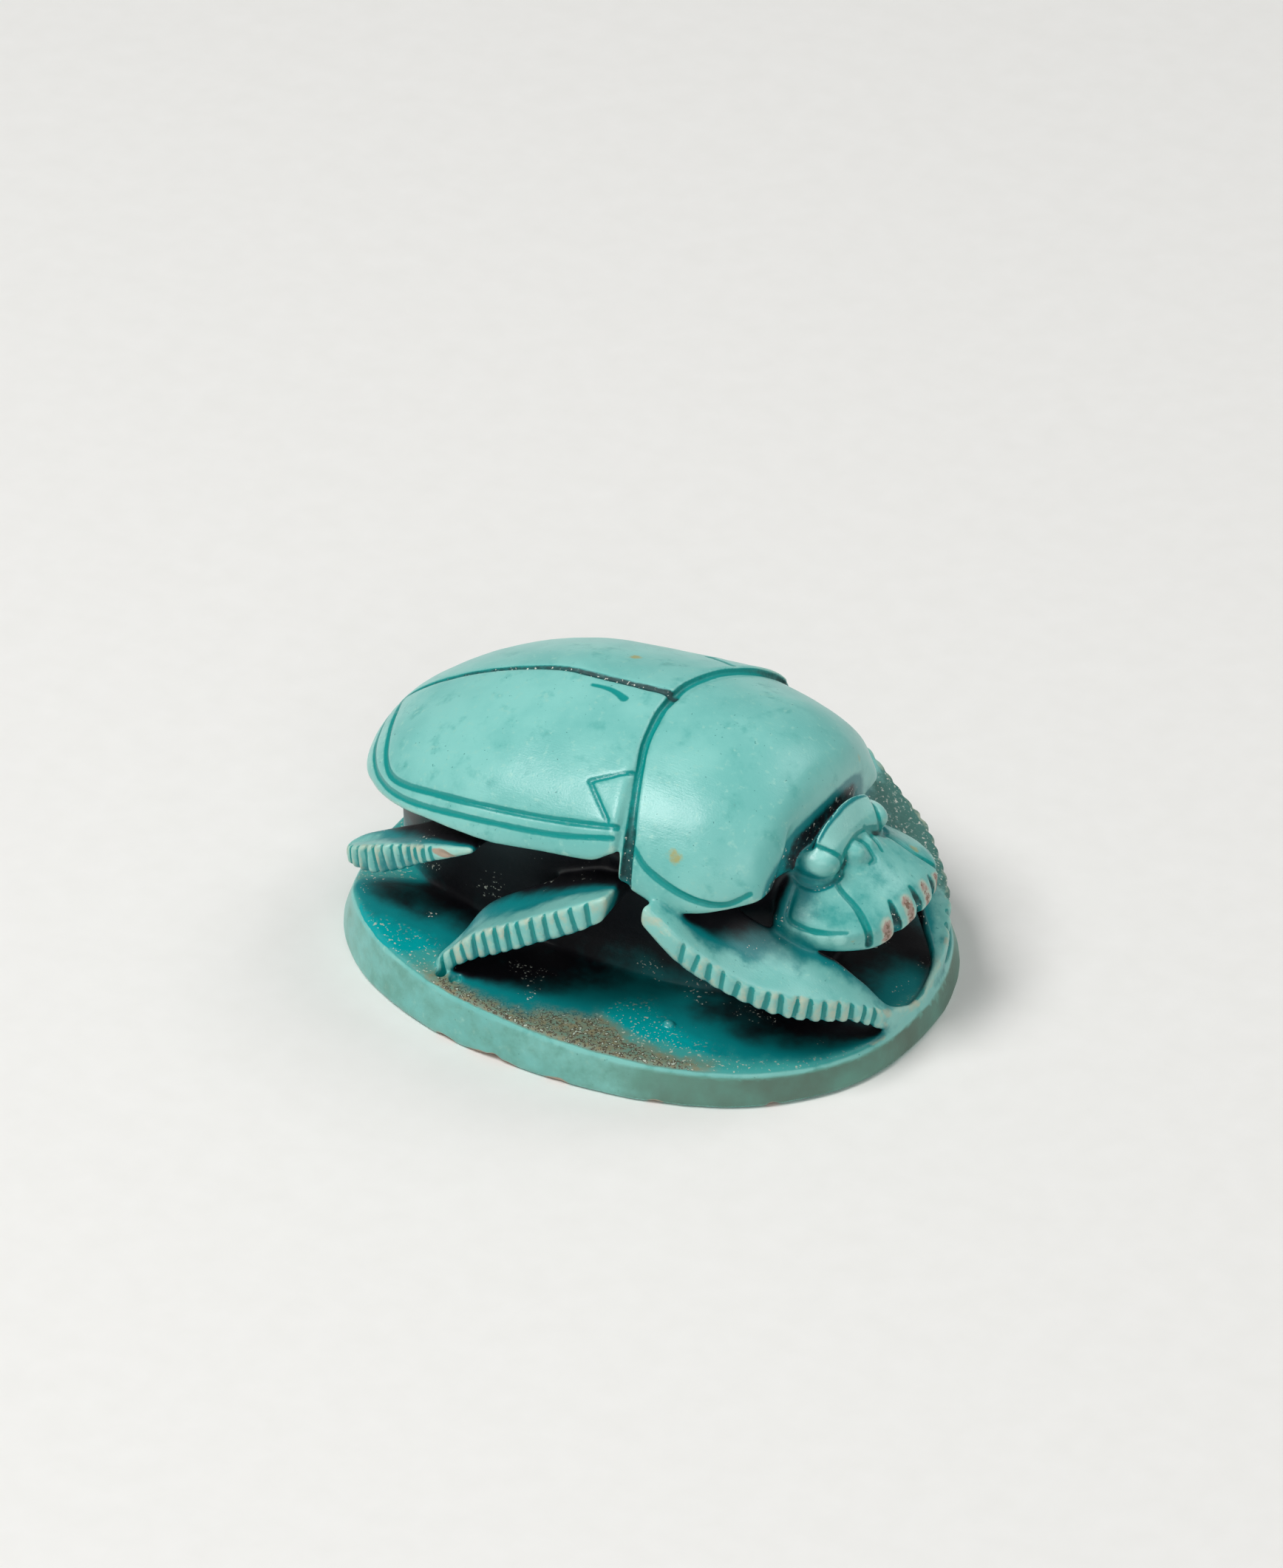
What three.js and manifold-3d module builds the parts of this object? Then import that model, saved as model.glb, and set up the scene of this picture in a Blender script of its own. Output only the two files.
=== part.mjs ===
// Scarab amulet: a beetle carved in one with the oval base that it sits on.
// Millimetres. Origin at the middle of the flat underside, +X to the head,
// +Y to the beetle's left, +Z up.
import * as THREE from 'three';
import { mergeVertices } from 'three/addons/utils/BufferGeometryUtils.js';
import Module from 'manifold-3d';

// ---- Driving sizes ----
const BASE = {
  halfLength: 10, halfWidth: 7.89, squareness: 2.28,
  thickness: 1.6, slope: -0.051, topScale: 0.967, edge: 0.12,
  wornTail: { from: -8.2, lean: 0.4, drop: 0.6 },
};
const WINGS = {
  middle: -2.7, reach: 6.9, halfWidth: 5.4, squareness: 2.1,
  crown: 9.67, crownRise: 0.07, tailEdge: 5.0, sideEdge: 6.25, edgeRise: 0.2,
  front: 0.8, frontBow: 1.15,
};
const SHIELD = {
  rear: 0.9, front: 6.45, halfWidth: 5.35, taper: 1.35,
  crown: 9.8, frontCrown: 8.1, sideEdge: 5.85, edgeLift: 0.5, frontBow: 0.1,
};
const LEAN = 0.07;    // shield and head are cut a little out of square: x gained per y
const DRIFT = 0.05;   // and the shield drifts to the right: y lost per x
const BODY = { middle: -1.15, reach: 7.5, waist: 3.4, flare: 4.5, foot: 3.9, top: 0.45 };
const HEAD = {
  rear: 5.6, front: 9.45, halfWidth: 3.05, ridgeRear: 7.9, ridgeFront: 5.1,
  edgeRear: 4.95, edgeFront: 4.75, thickness: 0.75,
};
const BROW = { rear: 6.4, front: 7.08, halfWidth: 1.55, rearTop: 7.8, frontTop: 6.8, fall: 0.2 };
const EYE = { radii: [0.5, 0.36, 0.34], place: [6.68, 1.72, 6.35] };
const GROOVE = { width: 0.2, depth: 0.14 };
const HATCH = { width: 0.15, depth: 0.2 };
const TEETH = { notches: [-1.15, 0, 1.15], reach: 0.55, half: 0.17, floor: 3.8, height: 2 };
const WING_BORDERS = [0.9, 0.965];   // lines near the wing edge, as shares of the way out
const ROUND = 24;      // points round a shell section
const OVAL = 60;       // points round the base

const wasm = await Module();
wasm.setup();

// ---- Helpers ----
const mix = (a, b, t) => a + (b - a) * t;
const power = (value, exponent) => Math.abs(value) ** exponent;
const vec = (x, y, z) => new THREE.Vector3(x, y, z);

function smooth(a, b, value) {
  return THREE.MathUtils.smoothstep(value, a, b);
}

// A closed skin through rings of equal length, with a fan over each end.
function loft(rings) {
  const count = rings[0].length;
  const points = rings.flat();
  const faces = [];
  for (let r = 0; r + 1 < rings.length; r++) {
    for (let i = 0; i < count; i++) {
      const a = r * count + i;
      const b = r * count + (i + 1) % count;
      faces.push(a, b, b + count, a, b + count, a + count);
    }
  }
  for (const [r, turn] of [[0, 1], [rings.length - 1, 0]]) {
    const centre = points.length;
    points.push(rings[r].reduce((sum, p) => sum.add(p), vec(0, 0, 0)).divideScalar(count));
    for (let i = 0; i < count; i++) {
      const a = r * count + (i + turn) % count;
      const b = r * count + (i + 1 - turn) % count;
      faces.push(centre, a, b);
    }
  }
  const geometry = new THREE.BufferGeometry().setFromPoints(points);
  geometry.setIndex(faces);
  return geometry;
}

function volumeOf(points, faces) {
  let six = 0;
  const corner = [vec(), vec(), vec()];
  for (let i = 0; i < faces.length; i += 3) {
    corner.forEach((c, k) => c.fromArray(points, faces[i + k] * 3));
    six += corner[0].dot(corner[1].cross(corner[2]));
  }
  return six / 6;
}

// A manifold solid from a closed geometry, its faces turned outwards.
function solid(geometry) {
  const bare = geometry.clone();
  bare.deleteAttribute('normal');
  bare.deleteAttribute('uv');
  const merged = mergeVertices(bare, 1e-4);
  const points = merged.attributes.position.array;
  const faces = Array.from(merged.index.array);
  if (volumeOf(points, faces) < 0) faces.reverse();
  const mesh = new wasm.Mesh({
    numProp: 3, vertProperties: new Float32Array(points), triVerts: new Uint32Array(faces),
  });
  return new wasm.Manifold(mesh);
}

// Leans a geometry as the head does, and drifts it too as the shield does.
function leaned(geometry, drift = 0) {
  const shear = new THREE.Matrix4().makeShear(-drift, 0, LEAN, 0, 0, 0);
  return geometry.translate(0, drift, 0).applyMatrix4(shear);
}

// ---- Base ----
function superellipse(angle, a, b, squareness) {
  const c = Math.cos(angle);
  const s = Math.sin(angle);
  return [a * Math.sign(c) * power(c, 2 / squareness), b * Math.sign(s) * power(s, 2 / squareness)];
}

function baseTop(x) {
  return BASE.thickness + BASE.slope * x;
}

// How much of the worn tail end a point of the oval has: 0 ahead of it, 1 at the end.
function tailWear(x) {
  return smooth(0, 1, (BASE.wornTail.from - x) / (BASE.halfLength + BASE.wornTail.from));
}

function ovalRing(scale, height) {
  return Array.from({ length: OVAL }, (_, i) => {
    const angle = (i + 0.5) * 2 * Math.PI / OVAL;
    const [x, y] = superellipse(angle, BASE.halfLength * scale, BASE.halfWidth * scale, BASE.squareness);
    return vec(x, y, height(x));
  });
}

function base() {
  const { edge, topScale, wornTail } = BASE;
  const worn = (ring) => ring.map((p) => vec(
    p.x + wornTail.lean * tailWear(p.x), p.y, p.z - wornTail.drop * tailWear(p.x),
  ));
  return solid(loft([
    ovalRing(1 - edge / 20, () => 0),
    ovalRing(1, () => edge),
    worn(ovalRing(topScale + edge / 20, (x) => baseTop(x) - edge)),
    worn(ovalRing(topScale - edge / 10, baseTop)),
  ]));
}

// ---- Back: wing cases and shield, as sections across the body ----
function wingSize(x) {
  const behind = Math.min(Math.max((WINGS.middle - x) / WINGS.reach, 0), 1);
  const ahead = Math.max(x - WINGS.middle, 0);
  const half = WINGS.halfWidth * (1 - power(behind, WINGS.squareness)) ** (1 / WINGS.squareness);
  const edge = mix(WINGS.tailEdge, WINGS.sideEdge, 1 - behind ** 2) + WINGS.edgeRise * ahead;
  const crown = WINGS.tailEdge
    + (WINGS.crown - WINGS.tailEdge) * (1 - power(behind, 1.2)) ** (1 / 1.9)
    + WINGS.crownRise * ahead;
  return { half, edge, crown: Math.max(crown, edge + 0.05) };
}

function shieldSize(x) {
  const u = Math.min(Math.max((x - SHIELD.rear) / (SHIELD.front - SHIELD.rear), 0), 1);
  return {
    half: SHIELD.halfWidth - SHIELD.taper * u ** 3,
    edge: SHIELD.sideEdge + SHIELD.edgeLift * (2 * u - 1) ** 2,
    crown: mix(SHIELD.frontCrown, SHIELD.crown, (1 - u ** 3) ** 0.6),
  };
}

// A point on a shell: t runs from -1 at the right edge over the crown to 1.
function onShell(x, t, size, arch) {
  const rise = (1 - power(t, arch.side)) ** (1 / arch.top);
  return vec(x, size.half * t, size.edge + (size.crown - size.edge) * rise);
}

const WING_ARCH = { side: 1.6, top: 1.9 };
const SHIELD_ARCH = { side: 1.8, top: 1.95 };

function wingPoint(x, t) {
  const point = onShell(x, t, wingSize(x), WING_ARCH);
  point.x += wingBow(x, point.y);
  return point;
}

// How far the front ends of the wing cases bend forward at y.
function wingBow(x, y) {
  const u = Math.max((x - WINGS.middle) / (WINGS.front - WINGS.middle), 0);
  return u * u * (WINGS.frontBow * power(y / WINGS.halfWidth, 1.6) + LEAN * y);
}

function shieldPoint(x, t) {
  const u = (x - SHIELD.rear) / (SHIELD.front - SHIELD.rear);
  const point = onShell(x, t, shieldSize(x), SHIELD_ARCH);
  point.x += shieldBow(u, point.y);
  return point;
}

function shieldBow(u, y) {
  const out = y / SHIELD.halfWidth;
  return mix(WINGS.frontBow * power(out, 1.6), -SHIELD.frontBow * out * out, smooth(0, 1, u));
}

function shellRing(x, size, arch, shift) {
  const over = Array.from({ length: ROUND }, (_, i) => {
    const t = -Math.cos(i * Math.PI / (ROUND - 1));
    return onShell(x, t, size, arch);
  });
  const under = [0.6, 0.2, -0.2, -0.6].map((t) => vec(x, size.half * t, size.edge));
  const ring = over.concat(under);
  ring.forEach((p) => { p.x += shift(p.y); });
  return ring;
}

function wings() {
  const rings = [];
  const turns = 14;
  for (let i = 0; i <= turns; i++) {
    const angle = mix(0.05, Math.PI / 2, i / turns);
    const x = WINGS.middle - WINGS.reach * Math.cos(angle);
    rings.push(shellRing(x, wingSize(x), WING_ARCH, () => 0));
  }
  const run = WINGS.front - WINGS.middle;
  for (const u of [0.25, 0.5, 0.75, 0.93, 1]) {
    const x = WINGS.middle + run * u;
    const size = wingSize(x);
    if (u === 1) size.crown -= 0.2;
    rings.push(shellRing(x, size, WING_ARCH, (y) => wingBow(x, y)));
  }
  return solid(loft(rings));
}

function shield() {
  const rings = [];
  for (const u of [0, 0.03, 0.2, 0.35, 0.5, 0.65, 0.78, 0.88, 0.95, 1]) {
    const x = mix(SHIELD.rear, SHIELD.front, u);
    const size = shieldSize(x);
    if (u === 0) size.crown -= 0.2;
    if (u === 1) size.half -= 0.15;
    rings.push(shellRing(x, size, SHIELD_ARCH, (y) => shieldBow(u, y)));
  }
  return solid(leaned(loft(rings), DRIFT));
}

// ---- Body between the back and the base ----
function body() {
  const rings = [];
  const steps = 16;
  for (let i = 0; i <= steps; i++) {
    const angle = mix(0.12, Math.PI - 0.12, i / steps);
    const x = BODY.middle - BODY.reach * Math.cos(angle);
    const round = Math.sin(angle) ** 0.8;
    const size = x < WINGS.front ? wingSize(x) : shieldSize(x);
    const top = Math.max(size.crown - BODY.top, size.edge + 0.1);
    const side = [
      [BODY.foot * round, 0.6], [BODY.waist * round, 3.0], [BODY.flare * round, size.edge + 0.15],
      [BODY.flare * round * 0.75, mix(size.edge, top, 0.75)],
    ];
    const ring = side.map(([y, z]) => vec(x, y, z));
    ring.push(vec(x, 0, top));
    side.reverse().forEach(([y, z]) => ring.push(vec(x, -y, z)));
    rings.push(ring);
  }
  return solid(loft(rings));
}

// ---- Cut lines ----
// A V-shaped cutter along points of a surface, given as pairs of its two parameters.
function cutLine(surface, stations, steps, place = (geometry) => geometry) {
  const route = new THREE.CatmullRomCurve3(stations.map(([a, b]) => vec(a, b, 0)), false, 'centripetal');
  const step = 0.01;
  const points = route.getPoints(steps);
  const rings = points.map((place, i) => {
    const { x: a, y: b } = place;
    const along = points[Math.min(i + 1, steps)].clone().sub(points[Math.max(i - 1, 0)]).normalize();
    const at = (da, db) => surface(a + da, b + db);
    const here = at(0, 0);
    const normal = at(step, 0).sub(at(-step, 0)).cross(at(0, step).sub(at(0, -step))).normalize();
    const ahead = at(along.x * step, along.y * step).sub(at(-along.x * step, -along.y * step)).normalize();
    const side = ahead.clone().cross(normal).multiplyScalar(GROOVE.width / 2);
    return [
      here.clone().add(side), here.clone().addScaledVector(normal, GROOVE.width),
      here.clone().sub(side), here.clone().addScaledVector(normal, -GROOVE.depth),
    ];
  });
  return solid(place(loft(rings)));
}

function backLines() {
  const tail = WINGS.middle - WINGS.reach;
  const lines = [cutLine(wingPoint, [[tail + 0.25, 0], [-6, 0], [-2, 0], [WINGS.front, 0]], 16)];
  for (const side of [-1, 1]) {
    for (const t of WING_BORDERS) {
      const route = [[tail + 0.3, t], [-8, t], [-5, t], [-1, t], [WINGS.front - 0.1, t]];
      lines.push(cutLine(wingPoint, route.map(([x, y]) => [x, y * side]), 22));
    }
    for (const notch of [[[0.9, 0.61], [-0.3, 0.72]], [[-0.3, 0.72], [0.55, 0.89]]]) {
      lines.push(cutLine(wingPoint, notch.map(([x, t]) => [x, t * side]), 4));
    }
    const rim = [[1.3, 0.86], [2, 0.91], [3.2, 0.965], [4.4, 0.98], [5.4, 0.975], [6.2, 0.95]];
    lines.push(cutLine(shieldPoint, rim.map(([x, t]) => [x, t * side]), 12, (g) => leaned(g, DRIFT)));
  }
  return lines;
}

// ---- Head ----
function headSize(x) {
  const u = (x - HEAD.rear) / (HEAD.front - HEAD.rear);
  return {
    half: HEAD.halfWidth * mix(0.6, 1, smooth(5.5, 6.2, x))
      * (1 - power(Math.max(u - 0.35, 0) / 0.65, 2.3)) ** (1 / 2.3),
    ridge: mix(HEAD.ridgeRear, HEAD.ridgeFront, u ** 0.8),
    edge: mix(HEAD.edgeRear, HEAD.edgeFront, u),
  };
}

function head() {
  const rings = [];
  for (const u of [0, 0.12, 0.3, 0.45, 0.6, 0.72, 0.82, 0.9, 0.96, 0.995]) {
    const x = mix(HEAD.rear, HEAD.front, u);
    const { half, ridge, edge } = headSize(x);
    const top = [-1, -0.85, -0.6, -0.3, 0, 0.3, 0.6, 0.85, 1].map((t) => vec(
      x, half * t, edge + (ridge - edge) * (1 - power(t, 1.6)),
    ));
    const under = [0.9, 0.4, -0.4, -0.9].map((t) => vec(x, half * t, edge - HEAD.thickness));
    rings.push(top.concat(under));
  }
  return solid(leaned(loft(rings)));
}

function headPoint(x, t) {
  const { half, ridge, edge } = headSize(x);
  return vec(x, half * t, edge + (ridge - edge) * (1 - power(t, 1.6)));
}

function knob(radii, place) {
  const geometry = new THREE.SphereGeometry(1, 14, 10).scale(...radii).translate(...place);
  return solid(leaned(geometry));
}

// The raised band across the brow, between the eyes.
function brow() {
  const rings = [];
  for (let i = 0; i <= 8; i++) {
    const y = mix(-1, 1, i / 8) * BROW.halfWidth;
    const fall = BROW.fall * y * y;
    rings.push([
      vec(BROW.rear, y, BROW.rearTop - fall - 1), vec(BROW.rear, y, BROW.rearTop - fall - 0.12),
      vec(BROW.rear + 0.12, y, BROW.rearTop - fall), vec(BROW.front - 0.08, y, BROW.frontTop - fall),
      vec(BROW.front, y, BROW.frontTop - fall - 0.15), vec(BROW.front, y, BROW.frontTop - fall - 0.8),
    ]);
  }
  return solid(leaned(loft(rings)));
}

function headLines() {
  const lines = [];
  for (const side of [-1, 1]) {
    const cheek = [[7.15, 0.3], [7.8, 0.5], [8.35, 0.66], [8.75, 0.8], [8.95, 1]];
    const rim = [[6.3, 0.8], [6.6, 0.93], [7.5, 0.95], [8.15, 0.93]];
    for (const route of [cheek, rim]) {
      lines.push(cutLine(headPoint, route.map(([x, t]) => [x, t * side]), 6, leaned));
    }
  }
  return lines;
}

// Wedges that part the teeth along the front of the head.
function toothNotches() {
  const clear = 0.4;
  const wedge = new THREE.Shape([
    new THREE.Vector2(-TEETH.reach, 0),
    new THREE.Vector2(clear, -TEETH.half), new THREE.Vector2(clear, TEETH.half),
  ]);
  return TEETH.notches.map((y) => {
    const geometry = new THREE.ExtrudeGeometry(wedge, { depth: TEETH.height, bevelEnabled: false });
    return solid(geometry.translate(HEAD.front - 0.045 * y * y - 0.03, y, TEETH.floor));
  });
}

// ---- Legs: flanges from the body out to a hatched edge ----
const LEGS = {
  front: {
    top: [[2.9, 6.1, 6.4], [3.95, 6.2, 5.8], [4.8, 6.1, 5.2], [6.15, 5.67, 4.3], [7.1, 5.27, 3.9],
      [8.07, 4.4, 3.35], [8.87, 3.45, 2.9], [9.5, 2.1, 2.1], [9.75, -0.1, 1.5]],
    bottom: [[2.85, 6.1, 5.65], [4.1, 6.15, 4.65], [5.05, 6.0, 4.07], [6.15, 5.67, 3.5], [7.2, 5.2, 3.0],
      [8.07, 4.4, 2.47], [8.87, 3.4, 2.08], [9.45, 2.1, 1.2], [9.65, -0.1, 0.9]],
    root: [[3.2, 3.2, 6.2], [4.0, 3.2, 5.6], [4.9, 3.1, 5.0], [6.0, 2.9, 4.5], [7.0, 2.7, 4.1],
      [7.9, 2.4, 3.8], [8.6, 2.0, 3.0], [9.25, 1.4, 1.9], [9.5, -0.1, 1.3]],
    depth: 0.9, notches: 14, hatched: [0.2, 0.86],
  },
  middle: {
    top: [[1.9, 6.5, 6.6], [0.8, 6.8, 6.0], [-1.0, 6.9, 4.9], [-2.4, 6.75, 3.9], [-3.3, 6.6, 3.15],
      [-4.1, 6.6, 2.3]],
    bottom: [[1.8, 6.5, 5.6], [1.0, 6.75, 5.0], [-0.6, 6.9, 4.0], [-1.9, 6.8, 3.1], [-2.9, 6.7, 2.4],
      [-4.0, 6.6, 1.6]],
    root: [[1.2, 3.2, 6.4], [0, 3.5, 5.8], [-1.5, 4.2, 4.8], [-3.1, 4.8, 3.7], [-3.7, 5.5, 2.8],
      [-4.3, 6.1, 2.1]],
    depth: 0.8, notches: 11, hatched: [0.16, 0.97],
  },
  hind: {
    top: [[-3.4, 5.5, 6.0], [-4.9, 5.5, 5.55], [-6.15, 5.2, 4.95], [-7.4, 5.05, 4.4], [-8.2, 4.85, 4.0],
      [-8.6, 4.5, 3.75]],
    bottom: [[-3.2, 5.55, 5.85], [-4.9, 5.5, 4.85], [-6.2, 5.1, 3.85], [-7.4, 5.0, 3.3], [-8.2, 4.8, 3.2],
      [-8.6, 4.45, 3.15]],
    root: [[-3.6, 3.2, 5.95], [-5.0, 3.4, 5.5], [-6.3, 3.6, 4.85], [-7.6, 3.65, 4.2], [-8.3, 3.8, 3.85],
      [-8.65, 4.1, 3.65]],
    depth: 0.8, notches: 9, hatched: [0.25, 0.95],
  },
};

function curve(points, side) {
  return new THREE.CatmullRomCurve3(points.map(([x, y, z]) => vec(x, y * side, z)));
}

function leg(shape, side) {
  const top = curve(shape.top, side);
  const bottom = curve(shape.bottom, side);
  const root = curve(shape.root, side);
  const rings = [];
  const steps = 14;
  for (let i = 0; i <= steps; i++) {
    const t = i / steps;
    const [a, b, c] = [top.getPoint(t), bottom.getPoint(t), root.getPoint(t)];
    const d = c.clone().setZ(c.z - shape.depth);
    const dish = a.clone().lerp(c, 0.5);
    dish.z -= 0.15;
    rings.push([c, dish, a, b, b.clone().lerp(d, 0.5), d]);
  }
  return solid(loft(rings));
}

// Prisms that hatch the outer edge of a leg, square to its edge.
function hatching(shape, side) {
  const top = curve(shape.top, side);
  const bottom = curve(shape.bottom, side);
  const cuts = [];
  for (let i = 0; i < shape.notches; i++) {
    const t = mix(shape.hatched[0], shape.hatched[1], i / (shape.notches - 1));
    const [a, b] = [top.getPoint(t), bottom.getPoint(t)];
    const along = top.getTangent(t);
    const down = b.clone().sub(a);
    const out = along.clone().cross(down).normalize();
    if (out.y * side < 0) out.negate();
    const high = a.clone().addScaledVector(down, -0.12);
    const low = b.clone().addScaledVector(down, 0.12);
    cuts.push(solid(loft([high, low].map((p) => [
      p.clone().addScaledVector(out, -HATCH.depth),
      p.clone().addScaledVector(out, 0.15).addScaledVector(along, HATCH.width),
      p.clone().addScaledVector(out, 0.15).addScaledVector(along, -HATCH.width),
    ]))));
  }
  return cuts;
}

// ---- Assembly ----
function join(solids) {
  return solids.reduce((all, next) => all.add(next));
}

function scarab() {
  const pairs = [-1, 1].flatMap((side) => Object.values(LEGS).map((shape) => [shape, side]));
  const legs = pairs.map(([shape, side]) => leg(shape, side));
  const eyes = [-1, 1].map((side) => {
    const [x, y, z] = EYE.place;
    return knob(EYE.radii, [x, y * side, z]);
  });
  const whole = join([base(), body(), wings(), shield(), head(), brow(), ...eyes, ...legs]);
  const hatches = pairs.flatMap(([shape, side]) => hatching(shape, side));
  return whole.subtract(join([...backLines(), ...headLines(), ...toothNotches(), ...hatches]));
}

function meshOf(manifold, name, material) {
  const { vertProperties, triVerts } = manifold.getMesh();
  const geometry = new THREE.BufferGeometry();
  geometry.setAttribute('position', new THREE.Float32BufferAttribute(vertProperties, 3));
  geometry.setIndex(Array.from(triVerts));
  geometry.computeVertexNormals();
  const mesh = new THREE.Mesh(geometry, material);
  mesh.name = name;
  return mesh;
}

const glaze = new THREE.MeshStandardMaterial({ color: 0x7cc9bf, roughness: 0.3, metalness: 0 });

const amulet = new THREE.Group();
amulet.add(meshOf(scarab(), 'scarab', glaze));

export default amulet;
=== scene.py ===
# %% [markdown]
# # A glazed scarab amulet
# A scarab is a small beetle cut from soft white soapstone, dipped in blue-green glaze and fired.
# Beetle and base are one piece of stone, so this lesson builds one closed skin. It could be
# modelled face by face, but a carver thinks in lumps that are run together and then scored with
# lines. Here the lumps are lofted shapes, a distance field runs them together, and the scored
# lines are cut out of that field before it becomes a mesh.

# %% Tools and the frame
import math

import bpy
import numpy as np
import openvdb as vdb
from mathutils import Matrix, Vector


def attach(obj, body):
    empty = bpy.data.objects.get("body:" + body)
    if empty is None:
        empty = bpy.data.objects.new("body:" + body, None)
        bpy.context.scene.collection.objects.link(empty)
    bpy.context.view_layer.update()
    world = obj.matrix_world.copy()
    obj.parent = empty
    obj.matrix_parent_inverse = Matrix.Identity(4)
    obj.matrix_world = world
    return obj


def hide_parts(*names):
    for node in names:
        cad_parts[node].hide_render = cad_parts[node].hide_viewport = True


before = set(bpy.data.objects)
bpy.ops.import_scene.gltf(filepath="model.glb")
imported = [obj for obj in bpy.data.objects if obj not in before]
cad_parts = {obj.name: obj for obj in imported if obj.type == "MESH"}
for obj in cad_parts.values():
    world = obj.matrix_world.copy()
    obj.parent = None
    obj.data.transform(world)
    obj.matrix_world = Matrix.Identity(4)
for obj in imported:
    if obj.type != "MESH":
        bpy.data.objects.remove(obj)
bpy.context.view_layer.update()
MM = 0.001  # every size below is in millimetres

# %% [markdown]
# ## Camera
# A piece this small is seen through a long lens from a quarter of a metre away, so its far side
# hardly shrinks. The camera looks down on the beetle's right side, past the head.

# %% Camera
AZIMUTH, ELEVATION = 28.5, 35.4
AIM = Vector((-0.347, 0.0, 6.054)) * MM
DISTANCE = 260 * MM


def put(name, data):
    """A new object in the scene that shows the data."""
    item = bpy.data.objects.new(name, data)
    bpy.context.scene.collection.objects.link(item)
    return item


def look(item, target, azimuth, elevation, distance):
    """Sets an item at a compass angle and a height angle from a target, looking at it."""
    a, e = math.radians(azimuth), math.radians(elevation)
    toward = Vector((math.sin(a) * math.cos(e), -math.cos(a) * math.cos(e), math.sin(e)))
    item.location = target + toward * distance
    item.rotation_euler = toward.to_track_quat("Z", "Y").to_euler()


camera_data = bpy.data.cameras.new("camera")
camera_data.sensor_width = 36
camera_data.lens = 189.9
camera_data.clip_start = 0.01
camera = put("camera", camera_data)
look(camera, AIM, AZIMUTH, ELEVATION, DISTANCE)
bpy.context.scene.camera = camera
print("camera is", round(DISTANCE / MM), "mm away")

# %% [markdown]
# ## Floor and light
# A museum table-top: a plain pale sheet, one strong soft lamp high on the left, and two weak ones:
# one lower in front that lights the edge of the base, and one behind that draws the far outline.
# Large lamps close to a small thing give the wide, soft glints that a glaze shows. One sky of even
# light would be simpler, but it would leave the undercuts flat.


# %% Colour and node helpers
def colour(hex_code):
    """An sRGB hex colour as linear RGBA."""
    channels = [int(hex_code[i:i + 2], 16) / 255 for i in (1, 3, 5)]
    linear = [c / 12.92 if c <= 0.04045 else ((c + 0.055) / 1.055) ** 2.4 for c in channels]
    return (*linear, 1.0)


def add(tree, kind, inputs=None, **settings):
    """Adds a node with its settings; an input is a value or the output socket that feeds it."""
    node = tree.nodes.new(kind)
    for name, value in settings.items():
        setattr(node, name, value)
    for key, value in (inputs or {}).items():
        if isinstance(value, bpy.types.NodeSocket):
            tree.links.new(value, node.inputs[key])
        else:
            node.inputs[key].default_value = value
    return node


# %% Floor, lamps and surrounding light
def stage_floor():
    mesh = bpy.data.meshes.new("floor")
    mesh.from_pydata([(-1, -1, 0), (1, -1, 0), (1, 1, 0), (-1, 1, 0)], [], [(0, 1, 2, 3)])
    material = bpy.data.materials.new("matt paper sheet")
    material.use_nodes = True
    tree = material.node_tree
    coordinates = add(tree, "ShaderNodeTexCoord").outputs["Object"]
    fibres = add(tree, "ShaderNodeTexNoise", {"Vector": coordinates, "Scale": 900.0, "Detail": 3.0})
    tone = add(tree, "ShaderNodeMix", {"Factor": fibres.outputs["Fac"],
                                       "A": colour("#eeede9"), "B": colour("#f4f3f0")}, data_type="RGBA")
    shader = tree.nodes["Principled BSDF"]
    tree.links.new(tone.outputs["Result"], shader.inputs["Base Color"])
    shader.inputs["Roughness"].default_value = 0.9
    mesh.materials.append(material)
    floor = put("floor", mesh)


def lamp(name, azimuth, elevation, distance, size, watts):
    """A square soft lamp that shines on the beetle."""
    data = bpy.data.lights.new(name, "AREA")
    data.shape = "SQUARE"
    data.size = size
    data.energy = watts
    look(put(name, data), Vector((0, 0, 4 * MM)), azimuth, elevation, distance)


stage_floor()
lamp("key", -42, 60, 0.30, 0.13, 0.62)
lamp("rear", 150, 50, 0.34, 0.16, 0.24)
lamp("front", 40, 38, 0.40, 0.20, 0.24)

world = bpy.data.worlds.new("studio")
bpy.context.scene.world = world
world.use_nodes = True
background = world.node_tree.nodes["Background"]
background.inputs["Color"].default_value = colour("#f2f4f5")
background.inputs["Strength"].default_value = 0.2
bpy.context.scene.view_settings.view_transform = "Standard"

# %% [markdown]
# ## Lofts
# Each lump is a row of cross-sections with a skin drawn over them. The skin needn't be tidy at
# its ends, because the distance field only asks where its inside is.


# %% Loft and spline helpers
def loft(rings):
    """Points, quads and end triangles of the skin over rings of equal length."""
    rings = np.asarray(rings, dtype=float)
    rows, count = rings.shape[:2]
    points = np.vstack([rings.reshape(-1, 3), rings[0].mean(axis=0), rings[-1].mean(axis=0)])
    i = np.arange(count)
    j = (i + 1) % count
    quads = np.vstack([np.c_[i, j, j + count, i + count] + row * count for row in range(rows - 1)])
    first, last = rows * count, rows * count + 1
    shift = (rows - 1) * count
    ends = np.vstack([np.c_[np.full(count, first), j, i], np.c_[np.full(count, last), i + shift, j + shift]])
    return points, quads, ends


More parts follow.
